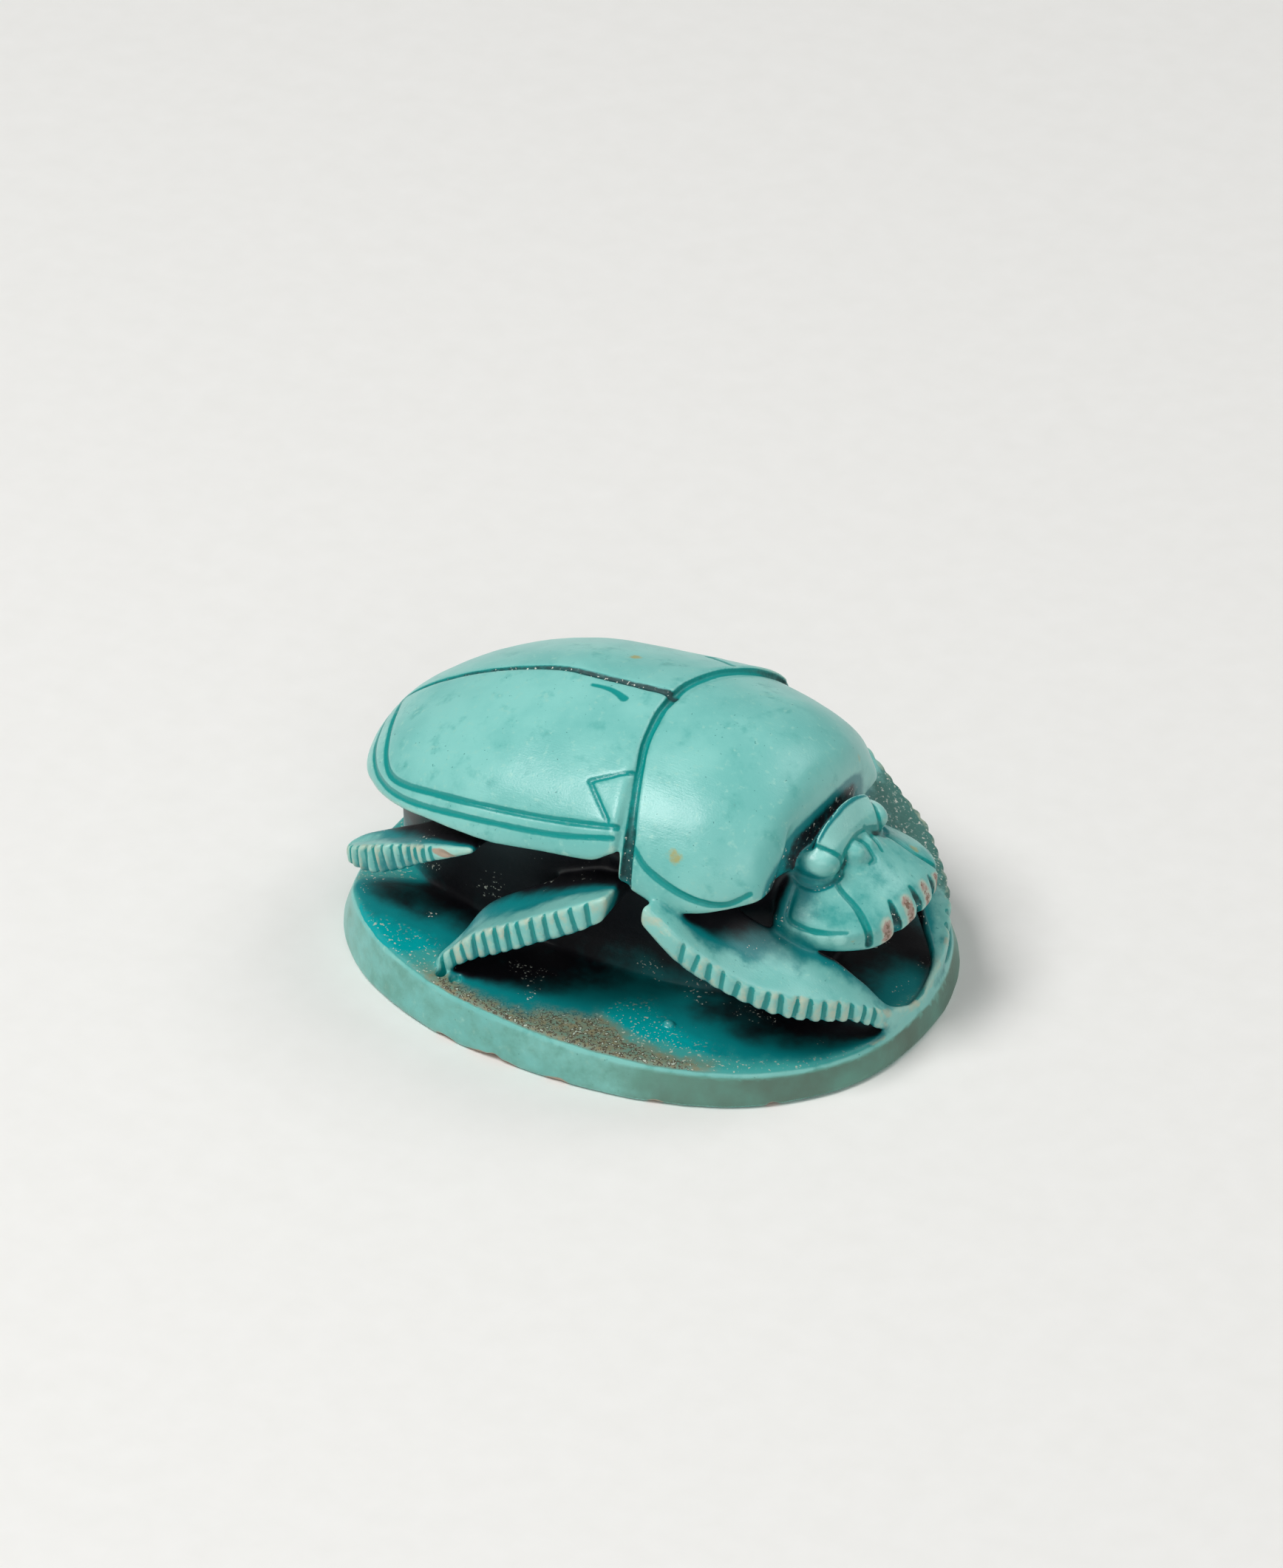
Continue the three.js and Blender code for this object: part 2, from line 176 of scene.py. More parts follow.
def spline(points, count):
    """A smooth curve through a few points, as count points."""
    p = np.asarray(points, dtype=float)
    p = np.vstack([2 * p[0] - p[1], p, 2 * p[-1] - p[-2]])
    t = np.linspace(0, len(p) - 3, count)
    i = np.minimum(t.astype(int), len(p) - 4)
    u = (t - i)[:, None]
    a, b, c, d = p[i], p[i + 1], p[i + 2], p[i + 3]
    return 0.5 * (2 * b + (c - a) * u + (2 * a - 5 * b + 4 * c - d) * u**2 + (3 * b - a - 3 * c + d) * u**3)


def mix(a, b, t):
    return a + (b - a) * t


def smooth(low, high, value):
    t = np.clip((value - low) / (high - low), 0, 1)
    return t * t * (3 - 2 * t)


# %% [markdown]
# ## The distance field
# A distance field is a grid of numbers: how far each point of space is from the nearest skin,
# negative inside. Two lumps join where the smaller number is kept, and a soft minimum leaves a
# small fillet, as a carver's tool and a coat of glaze do. Booleans would join the lumps too, but
# with hard seams and thin triangles. OpenVDB turns each loft into such a grid.

# %% Distance field helpers
VOXEL = 0.055  # grid spacing, mm
FILLET = 0.05  # rounding where a plain lump meets the stone, mm
BAND = 10  # cells each side of a skin that hold a true distance
LOW = np.floor(np.array([-10.9, -8.7, -0.9]) / VOXEL).astype(int)
HIGH = np.ceil(np.array([10.9, 8.7, 10.8]) / VOXEL).astype(int)
GRID = vdb.createLinearTransform(voxelSize=VOXEL)
stone = np.full(HIGH - LOW, BAND * VOXEL, dtype=np.float32)


def window(low, high):
    """The slices of the grid that hold a box given in millimetres, and the box's first cell."""
    a = np.maximum(np.floor(np.asarray(low) / VOXEL).astype(int) - LOW, 0)
    b = np.minimum(np.ceil(np.asarray(high) / VOXEL).astype(int) + 1 - LOW, stone.shape)
    return tuple(slice(s, e) for s, e in zip(a, b)), a


def distances(points, quads, triangles):
    """The window round a closed skin, and the distance to the skin in it."""
    margin = (BAND + 1) * VOXEL
    where, first = window(points.min(axis=0) - margin, points.max(axis=0) + margin)
    grid = vdb.FloatGrid.createLevelSetFromPolygons(
        points.astype(np.float32), triangles=triangles.astype(np.uint32), quads=quads.astype(np.uint32),
        transform=GRID, exBandWidth=BAND, inBandWidth=BAND,
    )
    values = np.empty(stone[where].shape, dtype=np.float32)
    grid.copyToArray(values, ijk=tuple(int(v) for v in first + LOW))
    return where, values


def soft_min(a, b, radius):
    """The smaller of a and b, rounded over where they are within radius of each other."""
    near = np.clip(radius - np.abs(a - b), 0, None) / radius
    return np.minimum(a, b) - near * near * radius / 4


def join(skin, fillet):
    """Runs a lump into the stone."""
    where, values = distances(*skin)
    stone[where] = soft_min(stone[where], values, fillet)


def cut(skin, fillet):
    """Cuts a lump out of the stone."""
    where, values = distances(*skin)
    stone[where] = -soft_min(-stone[where], values, fillet)


print("grid of", " x ".join(str(n) for n in stone.shape), "cells")

# %% [markdown]
# ## Base
# The base is a thick oval plate, a little squarer than an ellipse, whose wall leans in slightly
# towards the top. It is thicker under the tail than under the head, and the top edge is worn
# down at the tail end.

# %% Base
HALF_LENGTH, HALF_WIDTH = 10.0, 7.89
SQUARENESS = 2.28
THICKNESS, SLOPE = 1.6, -0.051


def base_top(x):
    return THICKNESS + SLOPE * x


def oval(scale, count=240):
    """x and y of points round the oval."""
    angle = (np.arange(count) + 0.5) * 2 * np.pi / count
    c, s = np.cos(angle), np.sin(angle)
    x = HALF_LENGTH * scale * np.sign(c) * np.abs(c) ** (2 / SQUARENESS)
    y = HALF_WIDTH * scale * np.sign(s) * np.abs(s) ** (2 / SQUARENESS)
    return x, y


def base_skin():
    rings = []
    for scale, share, below in [(0.994, 0, 0), (1.0, 0, -0.12), (0.973, 1, 0.12), (0.96, 1, 0.0)]:
        x, y = oval(scale)
        worn = smooth(8.2, 10, -x) * share
        z = (base_top(x) - 0.6 * worn) * share - below
        rings.append(np.c_[x + 0.4 * worn, y, z])
    return loft(rings)


join(base_skin(), FILLET)
print("base", 2 * HALF_LENGTH, "by", 2 * HALF_WIDTH, "mm")

# %% [markdown]
# ## Wing cases and shield
# The back is two domes that meet in a bow across the shoulders: the wing cases behind, a quarter
# of an egg, and the shield in front. Each is a row of arches, whose width, rim height and crown
# follow a few curves. A carver never gets both ends quite square, so the shield leans forward on
# its left side.

# %% Wing cases
def section(x, y, z):
    """Points of a cross-section that stands at x; z may be one height for all of them."""
    return np.column_stack([np.full(len(y), x), y, np.broadcast_to(z, len(y))])


LEAN = 0.07  # shield and head: x gained per y
WING_MIDDLE, WING_REACH, WING_FRONT = -2.7, 6.9, 0.8
WING_HALF, WING_CROWN = 5.4, 9.67
SHOULDER_BOW = 1.15  # how far the joint with the shield swings forward at its ends
WING_ARCH = 1.6, 1.9  # powers that shape the side and the top of an arch


def wing_size(x):
    """Half width, rim height and crown height of the wing cases at x."""
    behind = min(max((WING_MIDDLE - x) / WING_REACH, 0), 1)
    ahead = max(x - WING_MIDDLE, 0)
    half = WING_HALF * (1 - behind**2.1) ** (1 / 2.1)
    rim = mix(5.0, 6.25, 1 - behind**2) + 0.2 * ahead
    crown = 5.0 + (WING_CROWN - 5.0) * (1 - behind**1.2) ** (1 / 1.9) + 0.07 * ahead
    return half, rim, max(crown, rim + 0.05)


def arch(x, half, rim, crown, side, top):
    """An arch over the body at x, closed by a flat underside at the rim."""
    t = -np.cos(np.linspace(0, np.pi, 90))
    z = rim + (crown - rim) * np.clip(1 - np.abs(t) ** side, 0, None) ** (1 / top)
    under = np.linspace(0.95, -0.95, 30)
    return np.vstack([section(x, half * t, z), section(x, half * under, rim)])


def wing_skin():
    rings = []
    for angle in np.linspace(0.02, np.pi / 2, 60):
        x = WING_MIDDLE - WING_REACH * math.cos(angle)
        rings.append(arch(x, *wing_size(x), *WING_ARCH))
    for u in np.linspace(0.04, 1, 25):
        x = mix(WING_MIDDLE, WING_FRONT, u)
        half, rim, crown = wing_size(x)
        rounded = smooth(0.8, 1, u)
        crown = crown - 0.12 * smooth(0.93, 1, u)
        ring = arch(x, half - 0.12 * rounded, rim + 0.3 * rounded**2, crown, *WING_ARCH)
        ring[:, 0] += u * u * (SHOULDER_BOW * np.abs(ring[:, 1] / WING_HALF) ** 1.6 + LEAN * ring[:, 1])
        rings.append(ring)
    return loft(rings)


join(wing_skin(), FILLET)
print("wing cases", 2 * WING_HALF, "mm wide")

# %% Shield
SHIELD_REAR, SHIELD_FRONT = 0.9, 6.45
SHIELD_HALF, SHIELD_TAPER = 5.35, 1.35
DRIFT = 0.05  # the shield also slips to the right: y lost per x
SHIELD_ARCH = 1.8, 1.95


def shield_size(u):
    """Rim height and crown height of the shield, u of the way from its rear to its front."""
    return 5.85 + 0.5 * (2 * u - 1) ** 2, mix(8.1, 9.8, (1 - u**3) ** 0.6)


def shield_skin():
    rings = []
    for u in np.r_[0, 0.012, 0.03, np.linspace(0.06, 0.94, 40), 0.96, 0.975, 0.99, 1]:
        x = mix(SHIELD_REAR, SHIELD_FRONT, u)
        half = SHIELD_HALF - SHIELD_TAPER * u**3 - 0.15 * smooth(0.97, 1, u)
        rim, crown = shield_size(u)
        crown = crown - 0.12 * (1 - smooth(0, 0.03, u)) - 0.4 * smooth(0.85, 1, u) ** 2
        ring = arch(x, half, rim, crown, *SHIELD_ARCH)
        out = ring[:, 1] / SHIELD_HALF
        left = smooth(0, 0.6, out)  # the left front corner is drawn in
        ring[:, 0] -= 0.5 * left * out**2 * smooth(0.7, 1, u)
        ring[:, 1] *= 1 - 0.1 * left * u**3
        ring[:, 0] += mix(SHOULDER_BOW * np.abs(out) ** 1.6, -0.1 * out**2, smooth(0, 1, u))
        ring[:, 0] += LEAN * ring[:, 1]
        ring[:, 1] += DRIFT * (1 - ring[:, 0])
        rings.append(ring)
    return loft(rings)


join(shield_skin(), FILLET)
print("shield", 2 * SHIELD_HALF, "mm wide")

# %% [markdown]
# ## Body
# Between back and base the stone is cut away to a narrow waist, so the back overhangs on both
# sides and throws the deep shadow that makes the legs stand out.

# %% Body
BODY_MIDDLE, BODY_REACH = -1.15, 7.5
FOOT, WAIST, FLARE = 3.9, 3.4, 4.5


def body_skin():
    rings = []
    for angle in np.linspace(0.12, np.pi - 0.12, 60):
        x = BODY_MIDDLE - BODY_REACH * math.cos(angle)
        full = math.sin(angle) ** 0.8
        u = min(max((x - SHIELD_REAR) / (SHIELD_FRONT - SHIELD_REAR), 0), 1)
        _, rim, crown = wing_size(min(x, WING_FRONT))
        if x > WING_FRONT:
            rim, crown = shield_size(u)
        top = max(crown - 0.45, rim + 0.1)
        side = spline([[FOOT * full, 0.6], [WAIST * full, 3.0], [FLARE * full, rim + 0.15]], 14)
        side = np.vstack([side, [[FLARE * full * 0.75, mix(rim, top, 0.75)]]])
        ring = np.vstack([side, [[0, top]], side[::-1] * [-1, 1]])
        rings.append(section(x, *ring.T))
    return loft(rings)


join(body_skin(), 0.12)
print("waist", 2 * WAIST, "mm wide")

# %% [markdown]
# ## Head
# The head is a low wedge that falls away to a toothed shovel. Cheeks lie either side of it, a
# raised band crosses the brow between two bead-like eyes, and two small bumps stand under the
# band.

# %% Head
HEAD_REAR, HEAD_FRONT, HEAD_HALF = 5.6, 9.45, 3.05


def leaned(points):
    """Leans points as the shield and the head are leaned."""
    points = np.array(points, dtype=float)
    points[..., 0] += LEAN * points[..., 1]
    return points


def head_size(x):
    """Half width, ridge height and rim height of the head at x."""
    u = (x - HEAD_REAR) / (HEAD_FRONT - HEAD_REAR)
    half = HEAD_HALF * mix(0.6, 1, smooth(5.5, 6.2, x)) * (1 - max((u - 0.35) / 0.65, 0) ** 2.3) ** (1 / 2.3)
    return half, mix(7.9, 5.1, u**0.8), mix(4.95, 4.75, u)


def head_skin():
    """A wedge with a round back and a thin nose, its sections closer together at the nose."""
    rings = []
    even = np.linspace(HEAD_REAR, HEAD_FRONT - 0.3, 50)
    close = np.linspace(HEAD_FRONT - 0.26, HEAD_FRONT - 0.01, 12)
    for x in np.r_[even, close]:
        half, ridge, rim = head_size(x)
        nose = smooth(HEAD_FRONT - 0.5, HEAD_FRONT, x)
        t = np.linspace(-1, 1, 41)
        over = section(x, half * t, rim + (ridge - rim) * (1 - np.abs(t) ** 1.6) - 0.25 * nose**2)
        t = np.linspace(0.95, -0.95, 15)
        under = section(x, half * t, rim - mix(0.75, 0.45, nose))
        rings.append(leaned(np.vstack([over, under])))
    return loft(rings)


def bead(centre, radii, turn=0.0):
    """An ellipsoid, turned about the vertical."""
    rows, count = 24, 32
    rings = []
    for v in np.linspace(0.02, np.pi - 0.02, rows):
        a = np.arange(count) * 2 * np.pi / count
        p = np.c_[np.full(count, -math.cos(v)), math.sin(v) * np.cos(a), math.sin(v) * np.sin(a)] * radii
        c, s = math.cos(turn), math.sin(turn)
        rings.append(np.c_[c * p[:, 0] - s * p[:, 1], s * p[:, 0] + c * p[:, 1], p[:, 2]] + centre)
    return loft(rings)


# %% Brow, eyes and bumps
BROW_REAR_HALF, BROW_FRONT_HALF = 1.62, 1.3
EYES = leaned([[6.8, -1.56, 6.42], [6.8, 1.56, 6.42]])


def brow_skin():
    """A plate, wider along the neck than along its arched front edge."""
    rings = []
    for share in np.linspace(-1, 1, 31):
        rear, front = BROW_REAR_HALF * share, BROW_FRONT_HALF * share
        crest, brink = 7.92 - 0.25 * rear**2, 6.8 - 0.1 * front**2
        step = 7.18 + 0.12 * front**2
        rings.append(leaned([
            [6.5, rear, 5.9], [6.52, rear, crest - 0.2], [6.63, rear, crest],
            [step, front, brink], [step + 0.08, front, brink - 0.12], [step + 0.04, front, 5.9],
        ]))
    return loft(rings)


def neck_skin():
    """The slot that parts the head from the shield."""
    rings = []
    for y in np.linspace(-3.4, 3.4, 40):
        floor = 7.2 - 0.24 * y * y
        swept = 6.47 - 0.012 * y * y
        wide = 0.12 + 0.03 * abs(y)
        rings.append(leaned([
            [swept - wide, y, floor], [swept - wide - 0.06, y, floor + 1.9],
            [swept + wide, y, floor + 1.9], [swept + wide, y, floor],
        ]))
    return loft(rings)


join(head_skin(), 0.12)
join(brow_skin(), 0.08)
cut(neck_skin(), 0.1)
for eye, side in zip(EYES, (-1, 1)):
    join(bead(eye, [0.7, 0.46, 0.44], -0.29 * side), 0.04)
join(bead([7.4, -0.34, 6.22], [0.4, 0.38, 0.38]), 0.06)
join(bead([7.44, 0.38, 6.3], [0.34, 0.15, 0.22], -0.2), 0.04)
join(bead([7.5, 0.78, 6.04], [0.4, 0.13, 0.22], -0.4), 0.04)
print("head with brow, 2 eyes and 3 bumps")

# %% [markdown]
# ## Legs
# The six legs are flanges: each runs from the body out to a thick edge that the carver hatched
# with short strokes. A leg is lofted along three curves, the top and bottom of its edge and the
# top of its root, which are given for the left side and mirrored. Each leg also says how thick
# its root is and how many strokes of what length cut into which share of the edge, and how deep.

# %% Legs
LEGS = {
    "front": {
        "top": [[2.9, 6.1, 6.4], [3.95, 6.2, 5.8], [4.8, 6.1, 5.2], [6.15, 5.67, 4.3], [7.1, 5.27, 3.9],
                [8.07, 4.4, 3.35], [8.87, 3.45, 2.9], [9.5, 2.1, 2.1], [9.75, -0.1, 1.5]],
        "bottom": [[2.85, 6.1, 5.65], [4.1, 6.15, 4.65], [5.05, 6.0, 4.07], [6.15, 5.67, 3.5],
                   [7.2, 5.2, 3.0], [8.07, 4.4, 2.47], [8.87, 3.4, 2.08], [9.45, 2.1, 1.2],
                   [9.65, -0.1, 0.9]],
        "root": [[3.2, 3.2, 6.2], [4.0, 3.2, 5.6], [4.9, 3.1, 5.0], [6.0, 2.9, 4.5], [7.0, 2.7, 4.1],
                 [7.9, 2.4, 3.8], [8.6, 2.0, 3.0], [9.25, 1.4, 1.9], [9.5, -0.1, 1.3]],
        "depth": 0.9, "strokes": 15, "hatched": (0.17, 0.84), "stroke": 1.1, "bite": (0.07, 0.2),
    },
    "middle": {
        "top": [[1.95, 6.4, 6.6], [0.8, 6.8, 6.02], [-1.0, 6.9, 4.9], [-2.4, 6.75, 3.9], [-3.3, 6.6, 3.15],
                [-4.1, 6.6, 2.3]],
        "bottom": [[1.8, 6.5, 5.6], [1.0, 6.75, 5.0], [-0.6, 6.9, 4.0], [-1.9, 6.8, 3.1], [-2.9, 6.7, 2.4],
                   [-4.0, 6.6, 1.6]],
        "root": [[1.3, 3.2, 5.7], [0, 3.5, 5.4], [-1.5, 4.2, 4.6], [-3.1, 4.8, 3.7], [-3.7, 5.5, 2.8],
                 [-4.3, 6.1, 2.1]],
        "depth": 0.8, "strokes": 13, "hatched": (0.12, 0.98), "stroke": 1.5, "bite": (0.14, 0.2),
    },
    "hind": {
        "top": [[-3.4, 5.5, 6.0], [-4.9, 5.5, 5.55], [-6.15, 5.2, 4.95], [-7.4, 5.05, 4.4], [-8.2, 4.85, 4.0],
                [-8.6, 4.5, 3.75]],
        "bottom": [[-3.2, 5.55, 5.85], [-4.9, 5.5, 4.85], [-6.2, 5.1, 3.85], [-7.4, 5.0, 3.3],
                   [-8.2, 4.8, 3.2], [-8.6, 4.45, 3.15]],
        "root": [[-3.6, 3.2, 5.95], [-5.0, 3.4, 5.5], [-6.3, 3.6, 4.85], [-7.6, 3.65, 4.2], [-8.3, 3.8, 3.85],
                 [-8.65, 4.1, 3.65]],
        "depth": 0.8, "strokes": 12, "hatched": (0.2, 0.98), "stroke": 1.4, "bite": (0.13, 0.19),
    },
}


def leg_curves(leg, side, count=80):
    """Top edge, bottom edge and root of a leg, on the left side (1) or the right (-1)."""
    return [spline(leg[name], count) * [1, side, 1] for name in ("top", "bottom", "root")]


def leg_skin(leg, side):
    """A flange with a slightly dished top."""
    rings = []
    for a, b, c in zip(*leg_curves(leg, side)):
        d = c - [0, 0, leg["depth"]]
        dish = (a + c) / 2 - [0, 0, 0.15]
        rings.append([c, dish, a, b, (b + d) / 2, d])
    return loft(rings)


for leg in LEGS.values():
    for side in (-1, 1):
        join(leg_skin(leg, side), 0.16)
print(2 * len(LEGS), "legs joined")

# %% [markdown]
# ## Softening
# Handling and glaze round every edge. Blurring the field a little does that all over at once, and
# a slow random swell of a few hundredths of a millimetre takes away the machine look.


# %% Softening and unevenness
def blur(values, passes):
    """Averages each cell with its neighbours, once along each axis for every pass."""
    for _ in range(passes):
        for axis in range(3):
            inner = [slice(None)] * 3
            before, after = list(inner), list(inner)
            inner[axis], before[axis], after[axis] = slice(1, -1), slice(None, -2), slice(2, None)
            middle = values[tuple(inner)]
            values[tuple(inner)] = middle * 0.5 + (values[tuple(before)] + values[tuple(after)]) * 0.25
    return values


def swell(shape, spacing, seed):
    """Smooth random values from -1 to 1 that change over spacing millimetres."""
    cells = [int(n * VOXEL / spacing) + 4 for n in shape]
    values = np.random.default_rng(seed).uniform(-1, 1, cells).astype(np.float32)
    for axis, n in enumerate(shape):
        t = np.arange(n) * VOXEL / spacing + 1
        i = t.astype(int)
        u = (t - i).astype(np.float32)
        u = u * u * (3 - 2 * u)
        u = u.reshape([-1 if k == axis else 1 for k in range(3)])
        values = np.take(values, i, axis) * (1 - u) + np.take(values, i + 1, axis) * u
    return values


BLISTER = [3.46, -5.22, 1.44]  # a drop of glaze on the base
SWELLS = [(0.030, 1.9, 3), (0.009, 0.55, 4)]  # height and spacing in mm, seed

stone = blur(stone, 6)  # rounds edges over about 0.1 mm
join(bead(BLISTER, [0.2, 0.16, 0.13]), 0.04)
for height, spacing, seed in SWELLS:
    stone += height * swell(stone.shape, spacing, seed)
print("edges softened")

# %% [markdown]
# ## Scored lines
# A scored line is a round-bottomed furrow of changing width. It is cut by a row of small balls
# whose centres ride just above the surface: the line is given by a few points near the surface,
# and the field itself pulls the balls onto it.


# %% Scoring
def between_cells(values, place):
    """A grid's values at places counted in cells, mixed from the eight cells round each."""
    i = np.clip(place.astype(int), 0, np.array(values.shape) - 2)
    f = place - i
    total = 0
    for corner in np.ndindex(2, 2, 2):
        weight = np.prod(np.where(corner, f, 1 - f), axis=1)
        total = total + weight * values[tuple((i + corner).T)]
    return total


def sample(values, points):
    """The grid's value at points in millimetres."""
    return between_cells(values, np.asarray(points) / VOXEL - LOW)


def outward(points):
    """Unit directions that lead away from the stone."""
    step = VOXEL * 1.5
    slope = np.stack([
        sample(stone, points + step * axis) - sample(stone, points - step * axis) for axis in np.eye(3)
    ], axis=1)
    return slope / (np.linalg.norm(slope, axis=1, keepdims=True) + 1e-9)


furrow = np.full(stone.shape, 1.0, dtype=np.float32)  # distance from the furrows' walls
furrow_darkness = np.zeros(stone.shape, dtype=np.float32)  # how dark the nearest furrow is


def score(route, width, depth, seed, dark=0.3):
    """Adds a furrow along a route; width, depth and darkness may change along it."""
    rough = spline(route, 20)
    length = np.linalg.norm(np.diff(rough, axis=0), axis=1).sum()
    count = max(int(length / 0.03), 6)
    points = spline(route, count)
    for _ in range(4):
        points = points - outward(points) * sample(stone, points)[:, None]
    along = np.linspace(0, 1, count)
    knots = np.arange(0, length + 1, 0.35)
    wobble = np.interp(along * length, knots, np.random.default_rng(seed).uniform(-1, 1, len(knots)))
    half, deep, dark = (
        np.interp(along, np.linspace(0, 1, np.size(values)), np.atleast_1d(values))
        for values in (width, depth, dark)
    )
    half = half / 2 * (1 + 0.12 * wobble)
    radius = (half**2 + deep**2) / (2 * deep)
    centres = points + outward(points) * (radius - deep)[:, None]
    for centre, r, tone in zip(centres, radius, dark):
        where, _ = window(centre - r - 0.35, centre + r + 0.35)
        axes = [(np.arange(s.start, s.stop) + LOW[k]) * VOXEL - centre[k] for k, s in enumerate(where)]
        away = np.sqrt(axes[0][:, None, None]**2 + axes[1][None, :, None]**2 + axes[2][None, None, :]**2) - r
        furrow_darkness[where] = np.where(away < furrow[where], tone, furrow_darkness[where])
        furrow[where] = np.minimum(furrow[where], away)


def both(route):
    """A route on the right side and its mirror on the left."""
    route = np.asarray(route, dtype=float)
    return route, route * [1, -1, 1]


# %% [markdown]
# The back carries the strongest lines: the seam between the wing cases, two border lines round
# each, a small triangle at each shoulder, the groove between wing cases and shield, the line
# along the shield's rim, and one stray curl on the right wing case. The routes lie on the right
# side, and their mirrors on the left. Widths, depths and darkness are given from end to end.

# %% Lines on the back
SEAM = [[-9.2, 0, 5.6], [-8.15, 0, 7.22], [-6.44, 0, 8.3], [-3.73, 0, 9.39], [-1.08, 0, 9.77], [0.85, 0, 9.9]]
INNER_BORDER = [
    [-8.9, 0, 6.4], [-8.75, -0.7, 6.5], [-8.35, -1.95, 6.57], [-7.17, -3.86, 6.46],
    [-4.77, -4.78, 7.09], [-1.77, -4.97, 7.52], [0.3, -4.93, 7.85], [1.45, -4.8, 8.0],
]
OUTER_BORDER = [
    [-9.2, 0, 5.9], [-9.0, -0.9, 5.9], [-8.6, -2.28, 5.95], [-7.85, -3.54, 6.04], [-6.38, -4.55, 6.31],
    [-4.04, -5.15, 6.83], [-0.85, -5.21, 7.26], [1.4, -5.08, 7.75],
]
TRIANGLE = [[1.15, -3.26, 9.04], [-0.07, -3.86, 8.67]], [[-0.07, -3.86, 8.67], [1.03, -4.74, 8.11]]
SHIELD_RIM = [
    [2.1, -5.1, 7.6], [2.73, -5.33, 7.11], [4.14, -5.31, 6.52], [5.26, -5.0, 6.35], [6.0, -4.62, 6.8],
]
CURL = [[-1.84, -0.52, 9.8], [-1.3, -0.5, 9.8], [-0.87, -0.62, 9.8], [-0.55, -0.78, 9.8]]
SHOULDER = [
    [0.84, 0, 9.85], [0.83, -0.87, 9.8], [1.0, -2.15, 9.5], [1.31, -3.3, 9.0], [1.62, -4.18, 8.4],
    [1.85, -4.85, 7.7], [1.95, -5.25, 6.9], [1.95, -5.4, 6.4],
]

score(SEAM, [0.12, 0.16, 0.15, 0.17, 0.2, 0.27], [0.06, 0.1, 0.1, 0.13, 0.13, 0.16], seed=1,
      dark=[0.5, 0.7, 0.85, 1.0])
for side, (inner, outer, rim, shoulder) in enumerate(zip(
        both(INNER_BORDER), both(OUTER_BORDER), both(SHIELD_RIM), both(SHOULDER))):
    score(inner, [0.1, 0.16, 0.17, 0.16, 0.15, 0.16, 0.13], [0.05, 0.09, 0.1, 0.09, 0.09, 0.09, 0.07],
          seed=2 + side)
    score(outer, [0.08, 0.12, 0.14, 0.14, 0.13, 0.12], [0.04, 0.07, 0.08, 0.07, 0.06, 0.05], seed=4 + side)
    score(rim, [0.12, 0.16, 0.17, 0.15, 0.1], [0.06, 0.1, 0.1, 0.09, 0.05], seed=6 + side)
    if side:
        shoulder = leaned(shoulder)
    score(shoulder, [0.22, 0.2, 0.2, 0.22, 0.24, 0.3, 0.36, 0.4],
          [0.14, 0.13, 0.13, 0.14, 0.16, 0.2, 0.24, 0.24], seed=8 + side,
          dark=[0.7, 0.45, 0.35, 0.4, 0.6, 0.8, 0.9, 1.0])
for stroke in TRIANGLE:
    for route in both(stroke):
        score(route, [0.11, 0.14], [0.06, 0.08], seed=10)
score(CURL, [0.07, 0.1, 0.16, 0.22], [0.015, 0.02, 0.04, 0.05], seed=12)
print("back scored")

# %% [markdown]
# The head's lines part the cheeks from the middle, leave a rim round each cheek and ring the
# eyes. Small strokes wrinkle the bumps below the brow, and three deep notches part the teeth.

# %% Lines on the head
CHEEK = [
    [7.02, -0.8, 6.5], [7.08, -0.93, 6.2], [7.2, -1.13, 6.03], [7.42, -1.55, 5.76], [8.15, -1.7, 5.17],
    [8.77, -2.04, 4.64], [8.86, -2.1, 4.3],
]
CHEEK_RIM = [
    [6.29, -2.16, 5.75], [6.3, -2.52, 5.41], [6.36, -2.84, 5.08], [6.66, -2.96, 4.95],
    [7.4, -2.92, 4.88], [8.24, -2.5, 4.88],
]
EYE_LID = [
    [6.2, -1.7, 6.98], [6.6, -1.58, 7.05], [6.98, -1.38, 6.88], [7.34, -1.15, 6.5], [7.42, -1.25, 6.05],
    [7.2, -1.78, 5.88], [6.82, -2.08, 5.84], [6.4, -2.16, 5.92], [6.12, -2.1, 6.1],
]
BROW_FOOT = [[7.3, -1.15, 6.45], [7.25, -0.7, 6.6], [7.22, 0, 6.68], [7.28, 0.7, 6.55], [7.38, 1.25, 6.3]]
WRINKLES = [
    [[7.12, -0.1, 6.57], [7.42, 0.14, 6.33], [7.74, 0.06, 6.14], [7.93, -0.05, 6.01], [7.87, -0.31, 5.99]],
    [[7.15, 0.5, 6.68], [7.3, 0.62, 6.4], [7.6, 0.62, 6.1], [7.87, 0.5, 5.97]],
]
NOTCHES = [
    [[8.85, -0.86, 5.24], [9.1, -0.97, 5.0], [9.3, -1.03, 4.6]],
    [[9.1, 0.09, 5.3], [9.37, 0.09, 5.0], [9.46, 0.12, 4.5]],
    [[9.18, 1.22, 5.0], [9.36, 1.24, 4.6]],
]
NOTCH_FOOT = 3.9  # height at which every notch runs out


def both_leaned(route):
    """A route on the right of the leaned head, and its match on the left."""
    right, left = both(route)
    left[:, 0] += 2 * LEAN * left[:, 1]
    return right, left


